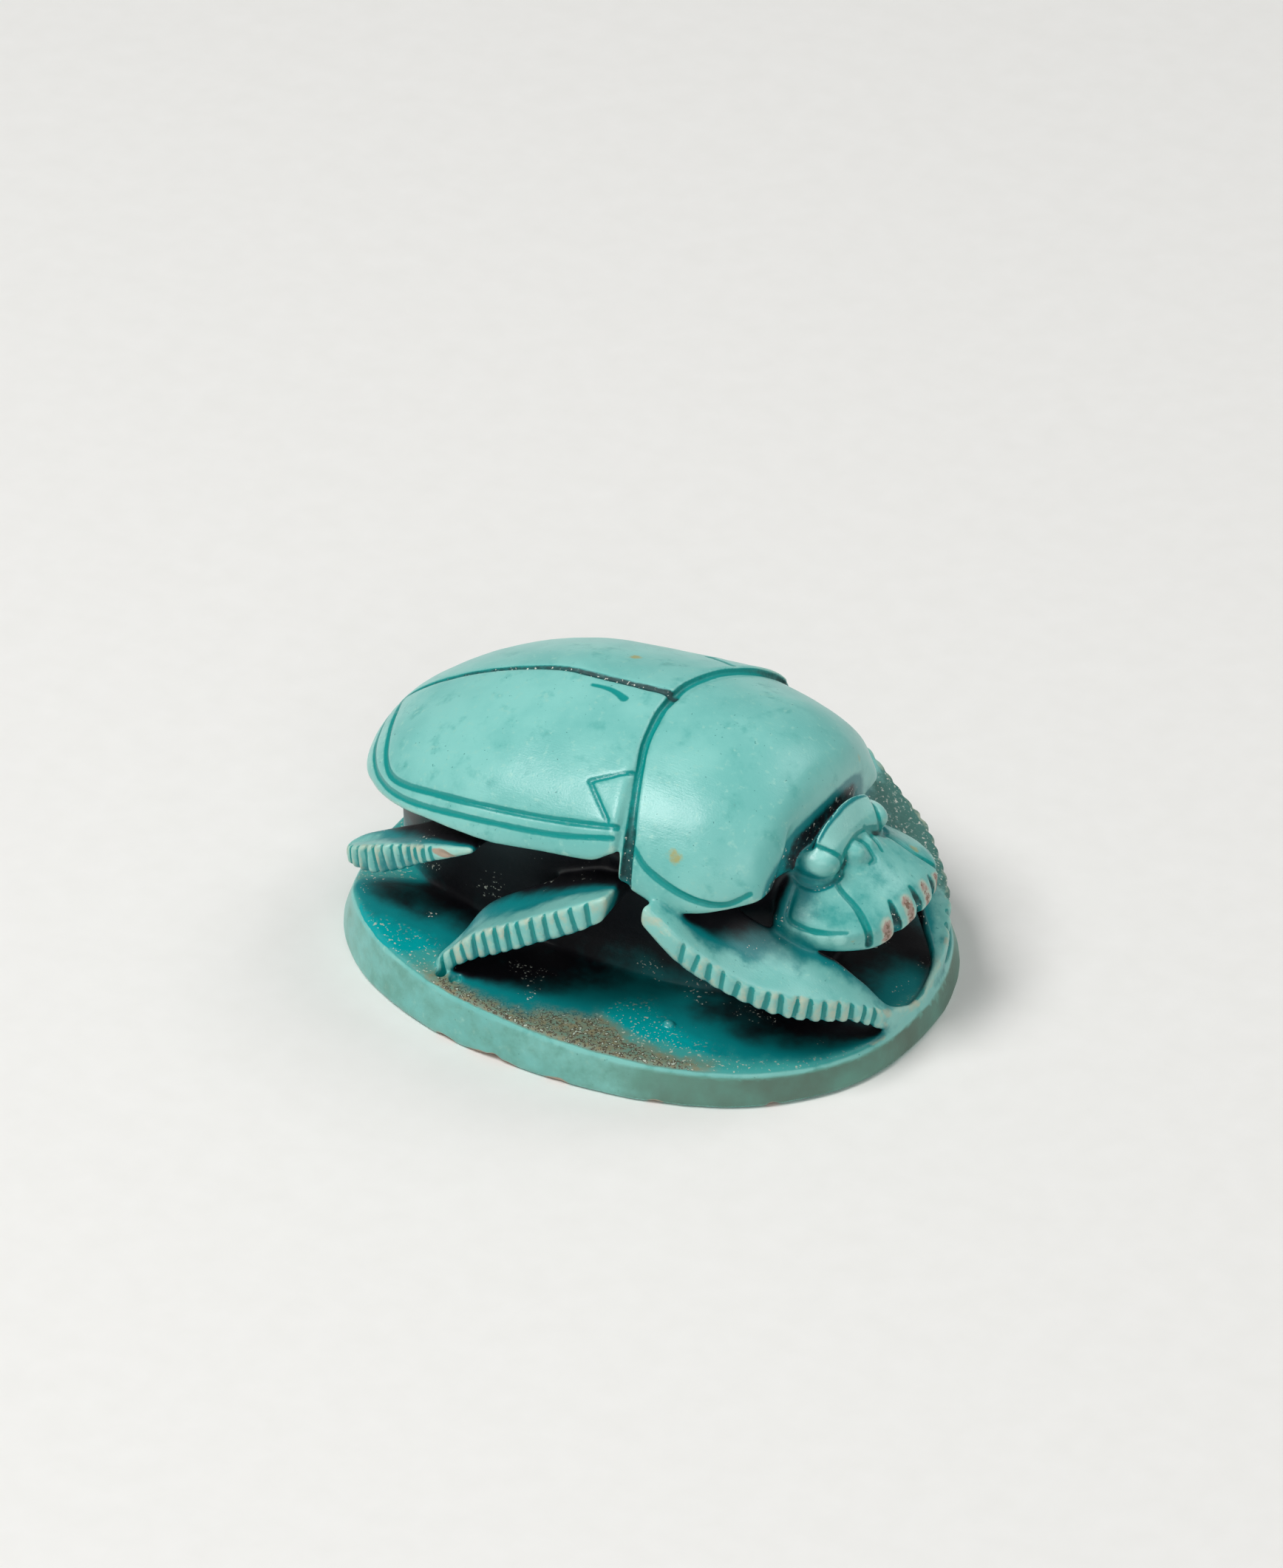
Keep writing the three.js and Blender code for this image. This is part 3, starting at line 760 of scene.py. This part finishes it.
sides = zip(both_leaned(CHEEK), both_leaned(CHEEK_RIM), both_leaned(EYE_LID))
for side, (cheek, rim, lid) in enumerate(sides):
    score(cheek, [0.08, 0.12, 0.14, 0.14, 0.15, 0.18, 0.2], [0.05, 0.08, 0.09, 0.09, 0.1, 0.13, 0.16],
          seed=20 + side, dark=[0.3, 0.9, 0.8, 0.4, 0.4, 0.6, 0.8])
    score(rim, [0.08, 0.12, 0.13, 0.12, 0.11, 0.07], [0.04, 0.09, 0.1, 0.09, 0.08, 0.04], seed=22 + side)
    score(lid, [0.07, 0.08, 0.08, 0.1, 0.12, 0.13, 0.13, 0.1, 0.08],
          [0.05, 0.07, 0.07, 0.09, 0.1, 0.11, 0.11, 0.1, 0.07], seed=24 + side,
          dark=[0.2, 0.2, 0.3, 0.5, 0.7, 0.6, 0.5, 0.5])
score(BROW_FOOT, 0.08, [0.05, 0.06, 0.06, 0.05], seed=28)
for route in WRINKLES:
    score(route, [0.05, 0.08, 0.1, 0.06], [0.03, 0.06, 0.07, 0.03], seed=26)
for notch in NOTCHES:
    score([*notch, [*notch[-1][:2], NOTCH_FOOT]], [0.08, 0.2, 0.3, 0.3], [0.04, 0.16, 0.24, 0.26],
          seed=27, dark=[0.6, 0.9, 1.0])
print("head scored")

# %% [markdown]
# ## Hatched legs
# The strokes on the legs repeat along an edge, which is a job for Geometry Nodes: a curve along
# the edge carries one round cutter per stroke. The inputs are the number of strokes, their length
# and width, how far they turn from square to the edge towards upright, and a seed that gives each
# stroke its own width and tilt. Every stroke is cut twice, as a thin deep line and as a wide
# shallow hollow round it, so that ribs stand between the strokes. Copies set by hand would do as
# well, but they would have to be set again after any change of the legs.


# %% Geometry Nodes: strokes along an edge
def stroke_tree():
    """A tree that sets tilted rods along a curve."""
    tree = bpy.data.node_groups.new("strokes along an edge", "GeometryNodeTree")
    for name, kind in [("Edge", "Geometry"), ("Strokes", "Int"), ("Length", "Float"), ("Width", "Float"),
                       ("Upright", "Float"), ("Seed", "Int"), ("Cutter finish", "Material")]:
        tree.interface.new_socket(name, in_out="INPUT", socket_type="NodeSocket" + kind)
    tree.interface.new_socket("Strokes", in_out="OUTPUT", socket_type="NodeSocketGeometry")
    given = add(tree, "NodeGroupInput").outputs
    spots = add(tree, "GeometryNodeCurveToPoints", {
        "Curve": given["Edge"], "Count": given["Strokes"]}, mode="COUNT")
    rod = add(tree, "GeometryNodeMeshCylinder", {
        "Vertices": 14, "Radius": 0.5, "Depth": 1.0, "Side Segments": 1})
    size = add(tree, "ShaderNodeCombineXYZ", {
        "X": given["Width"], "Y": given["Width"], "Z": given["Length"]})
    sized = add(tree, "GeometryNodeTransform", {
        "Geometry": rod.outputs["Mesh"], "Scale": size.outputs["Vector"]})
    laid = add(tree, "GeometryNodeTransform", {
        "Geometry": sized.outputs["Geometry"], "Rotation": (math.pi / 2, 0, 0)})
    vary = add(tree, "FunctionNodeRandomValue", {
        "Min": (0.85, 0.94, 0.8), "Max": (1.2, 1.06, 1.3), "Seed": given["Seed"]}, data_type="FLOAT_VECTOR")
    upright = add(tree, "FunctionNodeAlignRotationToVector", {
        "Rotation": spots.outputs["Rotation"], "Factor": given["Upright"], "Vector": (0, 0, -1)}, axis="Y")
    placed = add(tree, "GeometryNodeInstanceOnPoints", {
        "Points": spots.outputs["Points"], "Instance": laid.outputs["Geometry"],
        "Rotation": upright.outputs["Rotation"], "Scale": vary.outputs["Value"]})
    tilt = add(tree, "FunctionNodeRandomValue", {
        "Min": (-0.1, -0.1, -0.05), "Max": (0.1, 0.1, 0.05), "Seed": given["Seed"]}, data_type="FLOAT_VECTOR")
    tilted = add(tree, "GeometryNodeRotateInstances", {
        "Instances": placed.outputs["Instances"], "Rotation": tilt.outputs["Value"]})
    real = add(tree, "GeometryNodeRealizeInstances", {"Geometry": tilted.outputs["Instances"]})
    named = add(tree, "GeometryNodeSetMaterial", {
        "Geometry": real.outputs["Geometry"], "Material": given["Cutter finish"]})
    add(tree, "NodeGroupOutput", {"Strokes": named.outputs["Geometry"]})
    return tree


def triples(items, name, kind=np.float32):
    """A property of three numbers, read from all items at once."""
    values = np.empty(len(items) * 3, dtype=kind)
    items.foreach_get(name, values)
    return values.reshape(-1, 3)


def strokes(tree, edge, settings):
    """Bakes the tree's result on a curve through the edge's points into points and faces."""
    curve = bpy.data.curves.new("edge", "CURVE")
    curve.dimensions = "3D"
    curve.twist_mode = "Z_UP"
    line = curve.splines.new("POLY")
    line.points.add(len(edge) - 1)
    line.points.foreach_set("co", np.c_[edge, np.ones(len(edge))].ravel())
    carrier = put("edge", curve)
    modifier = carrier.modifiers.new("strokes", "NODES")
    modifier.node_group = tree
    for item in tree.interface.items_tree:
        if item.in_out == "INPUT" and item.name in settings:
            modifier[item.identifier] = settings[item.name]
    depsgraph = bpy.context.evaluated_depsgraph_get()
    mesh = bpy.data.meshes.new_from_object(carrier.evaluated_get(depsgraph), depsgraph=depsgraph)
    mesh.calc_loop_triangles()
    points, faces = triples(mesh.vertices, "co"), triples(mesh.loop_triangles, "vertices", np.int32)
    bpy.data.objects.remove(carrier)
    bpy.data.meshes.remove(mesh)
    return points, faces


# %% Cutting the strokes
CUTS = (0.12, 1.0), (0.32, 0.5)  # width in mm, share of the full bite
UPRIGHT = 0.6  # share of the turn towards upright
EDGE_POINTS = 200

hatch = np.full(stone.shape, 1.0, dtype=np.float32)  # distance from the strokes' walls
flanks = hatch.copy()  # the same for the hollows they lie in
edges = []  # points along the hatched edges
tree = stroke_tree()
cutter_finish = bpy.data.materials.new("cutter")
total = 0
for number, leg in enumerate(LEGS.values()):
    for side in (-1, 1):
        top, bottom, _ = leg_curves(leg, side, EDGE_POINTS)
        low, high = (int(share * (EDGE_POINTS - 1)) for share in leg["hatched"])
        along = np.gradient(top, axis=0)
        out = np.cross(along, bottom - top)
        out *= np.sign(out[:, 1:2] * side) / np.linalg.norm(out, axis=1, keepdims=True)
        bite = np.linspace(*leg["bite"], EDGE_POINTS)[:, None]  # how deep a rod sinks in
        for (width, share), walls in zip(CUTS, (hatch, flanks)):
            edge = (mix(top, bottom, 0.6) + out * (width / 2 - bite * share))[low:high]
            points, faces = strokes(tree, edge, {
                "Strokes": leg["strokes"], "Length": leg["stroke"], "Width": width, "Upright": UPRIGHT,
                "Seed": 5 + number * 2 + side, "Cutter finish": cutter_finish,
            })
            where, away = distances(points, np.empty((0, 4), dtype=int), faces)
            walls[where] = np.minimum(walls[where], away)
        edges.append(np.vstack([top[::8], bottom[::8], (top + bottom)[::8] / 2]))
        total += leg["strokes"]
bpy.data.node_groups.remove(tree)
bpy.data.materials.remove(cutter_finish)
for walls, lip in ((furrow, 0.07), (flanks, 0.07), (hatch, 0.05)):  # lip: rounding of a cut, mm
    stone = -soft_min(-stone, walls, lip)
print("all furrows and", total, "strokes cut")

# %% [markdown]
# ## Chips
# The lower edge of the base lost a few flakes, and the right hind leg and the rim of the wing
# case above it a small one each. Each chip is a shallow scoop whose wall is roughened.

# %% Chips
CHIPS = [  # centre, half sizes
    ([-1.6, -8.05, -0.25], [1.5, 0.55, 0.5]), ([-3.3, -7.75, -0.2], [0.6, 0.4, 0.38]),
    ([0.9, -8.1, -0.15], [0.9, 0.4, 0.35]), ([4.3, -7.55, -0.12], [0.5, 0.35, 0.32]),
    ([-4.4, -5.56, 5.42], [0.75, 0.16, 0.14]), ([7.4, -5.75, -0.1], [0.3, 0.25, 0.22]),
    ([-6.0, -4.85, 5.75], [0.5, 0.2, 0.2]), ([-3.9, 8.0, -0.2], [0.9, 0.4, 0.35]),
    ([9.6, 3.3, -0.15], [0.3, 0.5, 0.25]),
]
CHIP_GRAIN = 0.06  # how far the rough wall of a chip wanders, mm

rough = swell(stone.shape, 0.3, 8)
chipped = np.full(stone.shape, 1.0, dtype=np.float32)
for centre, radii in CHIPS:
    where, away = distances(*bead(centre, radii))
    away = away + CHIP_GRAIN * rough[where]
    chipped[where] = np.minimum(chipped[where], away)
stone = -soft_min(-stone, chipped, 0.05)
stone = blur(stone, 1)
print(len(CHIPS), "chips")

# %% [markdown]
# ## From field to mesh
# OpenVDB draws a skin of even squares through the zero of the field. Loose crumbs are dropped: the
# amulet is one closed skin. The sign of the volume inside tells which way its faces look, and
# they are turned to look outwards. Most squares lie on calm surfaces, so Decimate thins them
# there and leaves them in the lines.


# %% Skin of the field
def one_skin(points, quads):
    """Keeps the largest connected skin."""
    label = np.arange(len(points))
    edges = np.vstack([quads[:, [0, 1]], quads[:, [1, 2]], quads[:, [2, 3]], quads[:, [3, 0]]])
    while True:
        lowest = np.minimum(label[edges[:, 0]], label[edges[:, 1]])
        new = label.copy()
        np.minimum.at(new, edges[:, 0], lowest)
        np.minimum.at(new, edges[:, 1], lowest)
        new = new[new]
        if np.array_equal(new, label):
            break
        label = new
    names, sizes = np.unique(label, return_counts=True)
    keep = label == names[sizes.argmax()]
    place = np.cumsum(keep) - 1
    return points[keep], place[quads[keep[quads[:, 0]]]], len(names)


field = vdb.FloatGrid()
field.transform = GRID
field.background = 1.0
field.copyFromArray(stone, ijk=tuple(int(v) for v in LOW), tolerance=0)
points, _, quads = field.convertToPolygons(isovalue=0.0, adaptivity=0.0)
points, quads, skins = one_skin(points, quads.astype(np.int64))
print(len(quads), "squares,", skins, "skins")


# %% Faces outwards, and thinning
TRIANGLES = 190_000


def mesh_of(points, faces, name):
    """A mesh whose faces all have the same number of corners."""
    mesh = bpy.data.meshes.new(name)
    mesh.vertices.add(len(points))
    mesh.vertices.foreach_set("co", points.astype(np.float32).ravel())
    corners = faces.shape[1]
    mesh.loops.add(faces.size)
    mesh.loops.foreach_set("vertex_index", faces.astype(np.int32).ravel())
    mesh.polygons.add(len(faces))
    mesh.polygons.foreach_set("loop_start", np.arange(0, faces.size, corners, dtype=np.int32))
    mesh.update(calc_edges=True)
    return mesh


def volume_of(points, quads):
    """The volume inside a closed skin, below zero when its faces look inwards."""
    a, b, c, d = (points[quads[:, k]].astype(float) for k in range(4))
    return ((np.cross(a, b) * c).sum() + (np.cross(a, c) * d).sum()) / 6


if volume_of(points, quads) < 0:
    quads = quads[:, ::-1]
print("volume", round(volume_of(points, quads)), "cubic mm, with the faces looking outwards")
dense = put("dense", mesh_of(points, quads, "dense"))
thin = dense.modifiers.new("thin", "DECIMATE")
thin.ratio = TRIANGLES / (2 * len(quads))
thin.use_collapse_triangulate = True
depsgraph = bpy.context.evaluated_depsgraph_get()
skin = bpy.data.meshes.new_from_object(dense.evaluated_get(depsgraph), depsgraph=depsgraph)
bpy.data.objects.remove(dense)
skin.name = "scarab_glazed"
scarab = put("scarab_glazed", skin)
skin.polygons.foreach_set("use_smooth", np.ones(len(skin.polygons), dtype=bool))
print("skin of", len(skin.polygons), "triangles")

# %% [markdown]
# ## What the glaze knows about the shape
# Glaze runs off edges and pools in hollows, and dirt stays where no finger reaches; there the colour is also
# darkened as painted shade. So the mesh carries numbers from 0 to 1 per vertex, and the material lays its
# colours by them. Most are measured on the field, so they would follow a change of shape. A painted mask
# would not.

# %% Measuring tools
spot = triples(skin.vertices, "co").astype(float)
x, y, z = spot.T
facing = outward(spot)
solid = (stone < 0).astype(np.float32)
RAYS = [(0.0, 1), (0.45, 6), (0.85, 9), (1.15, 8)]  # tilt from upright in radians, rays at that tilt


def coarse(step):
    """Share of stone in each cell of a grid coarser by step."""
    n = np.array(solid.shape) // step
    part = solid[tuple(slice(0, k * step) for k in n)]
    return part.reshape(n[0], step, n[1], step, n[2], step).mean(axis=(1, 3, 5))


def at_vertices(values, step, pad, lift=0.0):
    """A coarse, padded grid's value, lift millimetres out from each vertex."""
    return between_cells(values, ((spot + facing * lift) / VOXEL - LOW + 0.5) / step - 0.5 + pad)


def fullness(step, passes):
    """Share of stone round each vertex: over a half in a crease, under a half on an edge."""
    return at_vertices(blur(np.pad(coarse(step), 3), passes), step, 3)


def roofed(step=3, reach=3.6):
    """Share of the sky above each vertex that stone blocks within reach."""
    values = np.pad(coarse(step) > 0.5, 1)
    size = step * VOXEL
    blocked, total = np.zeros(values.shape, dtype=np.float32), 0
    for tilt, count in RAYS:
        for turn in (np.arange(count) + tilt) * 2 * np.pi / count:
            ray = np.array([math.sin(tilt) * math.cos(turn), math.sin(tilt) * math.sin(turn), math.cos(tilt)])
            hit = np.zeros(values.shape, dtype=bool)
            for far in np.arange(0.3, reach, size):
                shift = np.round(ray * far / size).astype(int)
                to = tuple(slice(max(0, -k), n - max(0, k)) for k, n in zip(shift, values.shape))
                source = tuple(slice(max(0, k), n + min(0, k)) for k, n in zip(shift, values.shape))
                hit[to] |= values[source]
            blocked += hit * ray[2] ** 2
            total += ray[2] ** 2
    return at_vertices(blur(blocked / total, 2), step, 1, lift=0.3)


def nearest(points):
    """Distance from each vertex to the nearest of a few points."""
    best = np.full(len(spot), 99.0)
    for point in points:
        best = np.minimum(best, ((spot - point) ** 2).sum(axis=1))
    return np.sqrt(best)


def close_to(points, size):
    """1 at any of a few points, fading over about size millimetres."""
    return np.exp(-(nearest(points) / size) ** 2)


def store(name, values):
    attribute = skin.attributes.new(name, "FLOAT", "POINT")
    values = np.clip(values, 0, 1).astype(np.float32)
    attribute.data.foreach_set("value", values)
    print(name, "mean", round(float(values.mean()), 3))


# %% [markdown]
# Furrows and strokes are known from the distance to the tools that cut them. A crease has much stone close
# round it and an edge has little. Undercuts lie under a roof of stone where no finger reaches; the share of
# sky it blocks lays painted shade there, with some dirt, and the slot at the neck gets the same painted shade
# and dirt.

# %% Furrows, creases and shelter
PIT = [1.92, -6.45, 5.8]  # a dark pit on the middle leg

near, around = fullness(2, 4), fullness(4, 6)  # stone within about 0.3 and 0.8 mm
above = z - base_top(x)  # height above the base
rimward = (np.abs(x / HALF_LENGTH) ** SQUARENESS + np.abs(y / HALF_WIDTH) ** SQUARENESS) ** (1 / SQUARENESS)
ground = smooth(0.45, 0.15, above) * smooth(0.4, 0.8, facing[:, 2])
# Share of sky that stone blocks: it lays painted shade under overhangs and guides where dirt grains drift
roof_shade_and_dirt = roofed() * smooth(0.1, 0.5, z)
furrow_share = smooth(0.09, -0.03, sample(furrow, spot))
dark_share = smooth(0.07, 0.0, sample(furrow, spot)) * sample(furrow_darkness, spot)
dark_share = np.maximum(dark_share, close_to([PIT], 0.15))

# The front wall of the shield in the neck slot: painted shade there, with dirt and grains
shield_edge = 6.2 + 1.9 * np.clip(1 - np.abs(y / 4.4) ** 1.8, 0, 1) ** 0.5
neck_shade_and_dirt = smooth(0.42, 0.22, np.abs(x - LEAN * y - SHIELD_FRONT)) * smooth(0.25, 0.6, np.abs(facing[:, 0]))
neck_shade_and_dirt = neck_shade_and_dirt * smooth(0.0, 0.7, shield_edge - z)  # only below the shield's front edge
neck_shade_and_dirt = neck_shade_and_dirt * smooth(2.6, 1.2, y) * smooth(-4.3, -3.7, y) * smooth(4.8, 5.2, z)
store("furrow", furrow_share)
store("dark furrow", dark_share)
store("hatch", smooth(0.07, -0.01, sample(hatch, spot)))
store("crease", (near - 0.52) / 0.2)
store("edge", (0.47 - near) / 0.16)
store("deep", (around - 0.5) / 0.25)
store("roof_shade_and_dirt", roof_shade_and_dirt * smooth(-0.25, -0.05, above))
store("neck_shade_and_dirt", neck_shade_and_dirt)

# %% [markdown]
# The open ground of the base holds soil along its rim and pooled glaze beside the legs. The side wall of the
# base is mottled with dirt and darkened towards the head end and the near side as painted shade. The head has
# pale crests, partly thin glaze and partly painted highlight, dull flanks and teeth that are worn to the
# stone.

# %% Base and head
PUDDLES = [(3.2, -5.0, 2.3, 1.0), (-6.2, -5.4, 1.6, 1.1)]  # x, y, length, width
RIM_CREST = [[6.6, -3.05, 4.75], [7.1, -3.05, 4.7], [7.6, -2.95, 4.65], [8.1, -2.75, 4.65]]

store("ground", ground)
broad = 0.2 * np.exp(-((x - 0.2) / 2.4) ** 2)  # soil reaches further in at the middle
soil = ground * smooth(0.84 - broad, 0.94 - broad, rimward)
soil = soil * (0.35 + 0.65 * smooth(-5.5, -3.5, x)) * smooth(7.5, 4.5, x) * smooth(0, -3, y)
store("soil", soil)
brow = smooth(6.55, 6.75, x - LEAN * y) * smooth(6.75, 6.95, z) * smooth(3.0, 2.6, np.abs(y))
# Brow, eyes and cheek rims are paler: thin glaze, and partly a painted highlight
crest = 0.75 * brow + 1.4 * close_to(EYES, 0.55) + 1.3 * close_to(np.vstack(both_leaned(RIM_CREST)), 0.3)
store("crest", crest * (1 - furrow_share))
store("head", smooth(6.3, 6.7, x) * smooth(7.0, 6.6, z) * smooth(4.0, 4.4, z) * smooth(3.0, 2.6, np.abs(y)))
# The side wall of the base: dirt mottling all round, and painted shade that darkens it towards the head end
# and the near side
wall_dirt_and_shade = smooth(0.93, 0.97, rimward) * smooth(-0.12, -0.3, above) * smooth(0.3, 0.6, 1 - np.abs(facing[:, 2]))
store("wall_dirt_and_shade", wall_dirt_and_shade * (0.5 + 0.5 * smooth(4.5, 8.5, x - 0.4 * y)))
pool = 0
for middle_x, middle_y, length, width in PUDDLES:
    pool = np.maximum(pool, np.exp(-((x - middle_x) / length) ** 2 - ((y - middle_y) / width) ** 2))
store("pool", ground * pool)

# %% [markdown]
# The glaze is worn off the leg edges, the rim of the base and the tail. Pale grains drift into
# sheltered places. A few ochre stains, the chips and the bare teeth come last.

# %% Wear, grains and stains
TAIL_EDGE = [[-7.7, -3.65, 5.45], [-8.2, -3.1, 5.4]]
STAINS = [([3.38, -4.78, 7.54], 0.32), ([-1.55, 1.83, 9.43], 0.28), ([6.34, 2.27, 8.06], 0.3),
          ([8.3, 2.0, 5.3], 0.25), ([8.5, -2.5, 4.6], 0.16)]
TEETH = -1.45, -0.4, 0.68, 1.6  # y of each tooth

leg_edge = smooth(0.55, 0.2, nearest(np.vstack(edges))) * smooth(0.5, 0.42, near)
rim_edge = smooth(0.9, 0.97, rimward) * smooth(0.25, 0.05, np.abs(above))
worn = 0.92 * leg_edge + 0.6 * rim_edge + close_to(TAIL_EDGE, 0.45) + 2 * close_to([BLISTER], 0.2)
store("wear", worn)
dusty = smooth(2.6, 3.6, y) * smooth(4.5, 5.6, x) * smooth(6.5, 6.0, z) * smooth(0.2, 0.6, above)
store("dust", dusty)
drift = smooth(-0.35, 0.5, sample(swell(stone.shape, 0.9, 9), spot))
grains = neck_shade_and_dirt + dark_share + dusty + 0.8 * drift * smooth(0.2, 0.5, roof_shade_and_dirt) * smooth(1.1, 0.8, roof_shade_and_dirt)
store("grain", np.minimum(0.7 * grains, 0.49 + 0.05 * drift))
store("stain", sum(close_to([centre], size) for centre, size in STAINS))
store("chip", 1 - sample(chipped, spot) / 0.08)
tips = sum(np.exp(-((y - tip) / 0.25) ** 2) for tip in TEETH)
store("tooth", tips * smooth(0.5, 0.85, facing[:, 0]) * smooth(8.6, 8.9, x) * smooth(3.9, 4.3, z))

# %% Into metres
skin.transform(Matrix.Scale(MM, 4))
skin.update()

# %% [markdown]
# ## Glazed soapstone
# Soapstone turns hard and white in the kiln, and the copper glaze over it is thin on edges and thick in
# hollows. Thin glaze looks pale and milky, thick glaze deep teal. Over that lie centuries of soil: brown dust
# on open ground and pale grains in sheltered places. Under overhangs, in the neck slot and on the side wall
# towards the head the colour is darkened as painted shade, mixed with dirt; the deepest furrows turn
# near-black; and the crests of the head carry a painted highlight over their thin glaze. Each layer is laid
# where one of the numbers, roughened by a pattern, passes a threshold. Real specks and grit are finer than
# the two finest patterns, which are drawn coarser so that they show.

# %% Material
PATTERNS = {  # size in mm, detail, roughness
    "cloud": (3.0, 4, 0.55), "mottle": (0.8, 6, 0.6), "fleck": (0.25, 4, 0.6), "speck": (0.1, 1, 0.5),
    "grit": (0.07, 3, 0.6),
}
STREAK = 0.6, 0.05, 0.05  # size of the fine scratches in the glaze, mm
RELIEF = 0.015  # height of scratches and grit, mm
LAYERS = [  # number, pattern, its sway, start, full, colour, roughness
    (None, "cloud", 1.0, 0.38, 0.66, "#8ad2c9", 0.3),
    (None, "mottle", 1.0, 0.52, 0.76, "#60b6ae", 0.32),
    (None, "fleck", 1.0, 0.56, 0.74, "#93d2c6", 0.36),
    (None, "speck", 1.0, 0.74, 0.8, "#3f8f8b", 0.4),
    ("edge", "fleck", 0.8, 0.95, 1.6, "#a9d8c9", 0.4),
    ("stain", "fleck", 0.8, 0.8, 1.2, "#a8ab74", 0.35),
    ("ground", "mottle", 0.6, 0.55, 1.2, "#3fa6a0", 0.38),
    ("deep", "mottle", 0.3, 0.3, 0.7, "#1f9f9c", 0.3),
    ("crease", "mottle", 0.4, 0.4, 0.9, "#059390", 0.28),
    ("head", "mottle", 1.4, 1.5, 2.15, "#2f9f9a", 0.34),
    # Base wall: dirt mottling, and painted shade towards the head end and the near side
    ("wall_dirt_and_shade", "mottle", 1.0, 0.7, 1.4, "#67a392", 0.36),
    ("wall_dirt_and_shade", "cloud", 1.0, 1.25, 1.75, "#5d7566", 0.45),
    ("pool", "mottle", 0.9, 0.66, 0.82, "#00a9ab", 0.2),
    ("furrow", "mottle", 0.4, 0.3, 0.8, "#00958f", 0.3),
    ("hatch", "mottle", 0.5, 0.45, 1.0, "#0a9590", 0.35),
    ("dark furrow", "fleck", 0.7, 0.75, 1.3, "#033f3f", 0.6),
    ("dust", "fleck", 1.0, 0.9, 1.5, "#3f7d73", 0.55),
    ("dust", "speck", 1.0, 1.56, 1.7, "#a9bdb2", 0.6),
    # Crests: pale thin glaze and partly a painted highlight
    ("crest", "mottle", 0.6, 0.65, 1.35, "#a6e6dd", 0.26),
    ("wear", "mottle", 1.4, 1.5, 1.95, "#c6cfb6", 0.42),
    ("soil", "mottle", 1.6, 1.1, 1.8, "#6f8f7d", 0.55),
    ("soil", "fleck", 1.4, 1.45, 1.95, "#8a8363", 0.65),
    ("soil", "speck", 1.2, 1.56, 1.7, "#4d4635", 0.7),
    ("ground", "speck", 1.0, 1.62, 1.7, "#b9c9b6", 0.6),
    # Neck slot and undercuts: teal, then near-black, painted shade with some dirt
    ("neck_shade_and_dirt", "mottle", 0.3, 0.2, 0.5, "#04878a", 0.35),
    ("roof_shade_and_dirt", "mottle", 0.4, 0.42, 0.66, "#04878a", 0.35),
    ("neck_shade_and_dirt", "fleck", 0.5, 0.85, 1.3, "#15151c", 0.45),
    ("roof_shade_and_dirt", "mottle", 0.3, 0.62, 0.94, "#131219", 0.45),
    ("chip", "fleck", 0.4, 0.5, 0.9, "#b3a08d", 0.55),
    ("tooth", "mottle", 1.2, 0.8, 1.3, "#bccdbc", 0.45),
    ("tooth", "fleck", 1.6, 1.35, 1.75, "#b0968a", 0.5),
    ("tooth", "speck", 1.4, 1.55, 1.75, "#87705f", 0.6),
    ("grain", "speck", 1.0, 1.16, 1.24, "#d9dccf", 0.5),
]


def glazed_soapstone():
    """Copper glaze, thin and pale on edges and pooled deep in hollows, dulled by soil, with painted shade
    under overhangs and painted highlights on the head.
    """
    material = bpy.data.materials.new("copper glaze on soapstone")
    material.use_nodes = True
    tree = material.node_tree
    shader = tree.nodes["Principled BSDF"]
    at = add(tree, "ShaderNodeTexCoord").outputs["Object"]
    pattern = {
        name: add(tree, "ShaderNodeTexNoise", {
            "Vector": at, "Scale": 1 / (size * MM), "Detail": detail, "Roughness": rough,
        }).outputs["Fac"] for name, (size, detail, rough) in PATTERNS.items()
    }
    base, gloss = colour("#76c4bc"), 0.3
    for number, name, sway, start, full, tint, roughness in LAYERS:
        known = 0.0
        if number:
            known = add(tree, "ShaderNodeAttribute", attribute_name=number).outputs["Fac"]
        swayed = add(tree, "ShaderNodeMath", {0: pattern[name], 1: sway, 2: known}, operation="MULTIPLY_ADD")
        amount = add(tree, "ShaderNodeMapRange", {
            "Value": swayed.outputs["Value"], "From Min": start, "From Max": full,
        }, interpolation_type="SMOOTHSTEP").outputs["Result"]
        base = add(tree, "ShaderNodeMix", {"Factor": amount, "A": base, "B": colour(tint)},
                   data_type="RGBA").outputs["Result"]
        gloss = add(tree, "ShaderNodeMix", {"Factor": amount, "A": gloss, "B": roughness},
                    data_type="FLOAT").outputs["Result"]
    tree.links.new(base, shader.inputs["Base Color"])
    tree.links.new(gloss, shader.inputs["Roughness"])
    shader.inputs["IOR"].default_value = 1.5
    brushed = add(tree, "ShaderNodeMapping", {
        "Vector": at, "Scale": [1 / (size * MM) for size in STREAK], "Rotation": (0.0, 0.3, 0.5)})
    streaks = add(tree, "ShaderNodeTexNoise", {
        "Vector": brushed.outputs["Vector"], "Scale": 1.0, "Detail": 2.0})
    height = add(tree, "ShaderNodeMath", {0: streaks.outputs["Fac"], 1: 0.6, 2: pattern["grit"]},
                 operation="MULTIPLY_ADD")
    bump = add(tree, "ShaderNodeBump", {
        "Height": height.outputs["Value"], "Strength": 0.42, "Distance": RELIEF * MM})
    tree.links.new(bump.outputs["Normal"], shader.inputs["Normal"])
    return material


skin.materials.clear()
skin.materials.append(glazed_soapstone())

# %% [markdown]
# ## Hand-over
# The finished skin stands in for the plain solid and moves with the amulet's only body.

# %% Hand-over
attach(scarab, "root")
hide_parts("scarab")
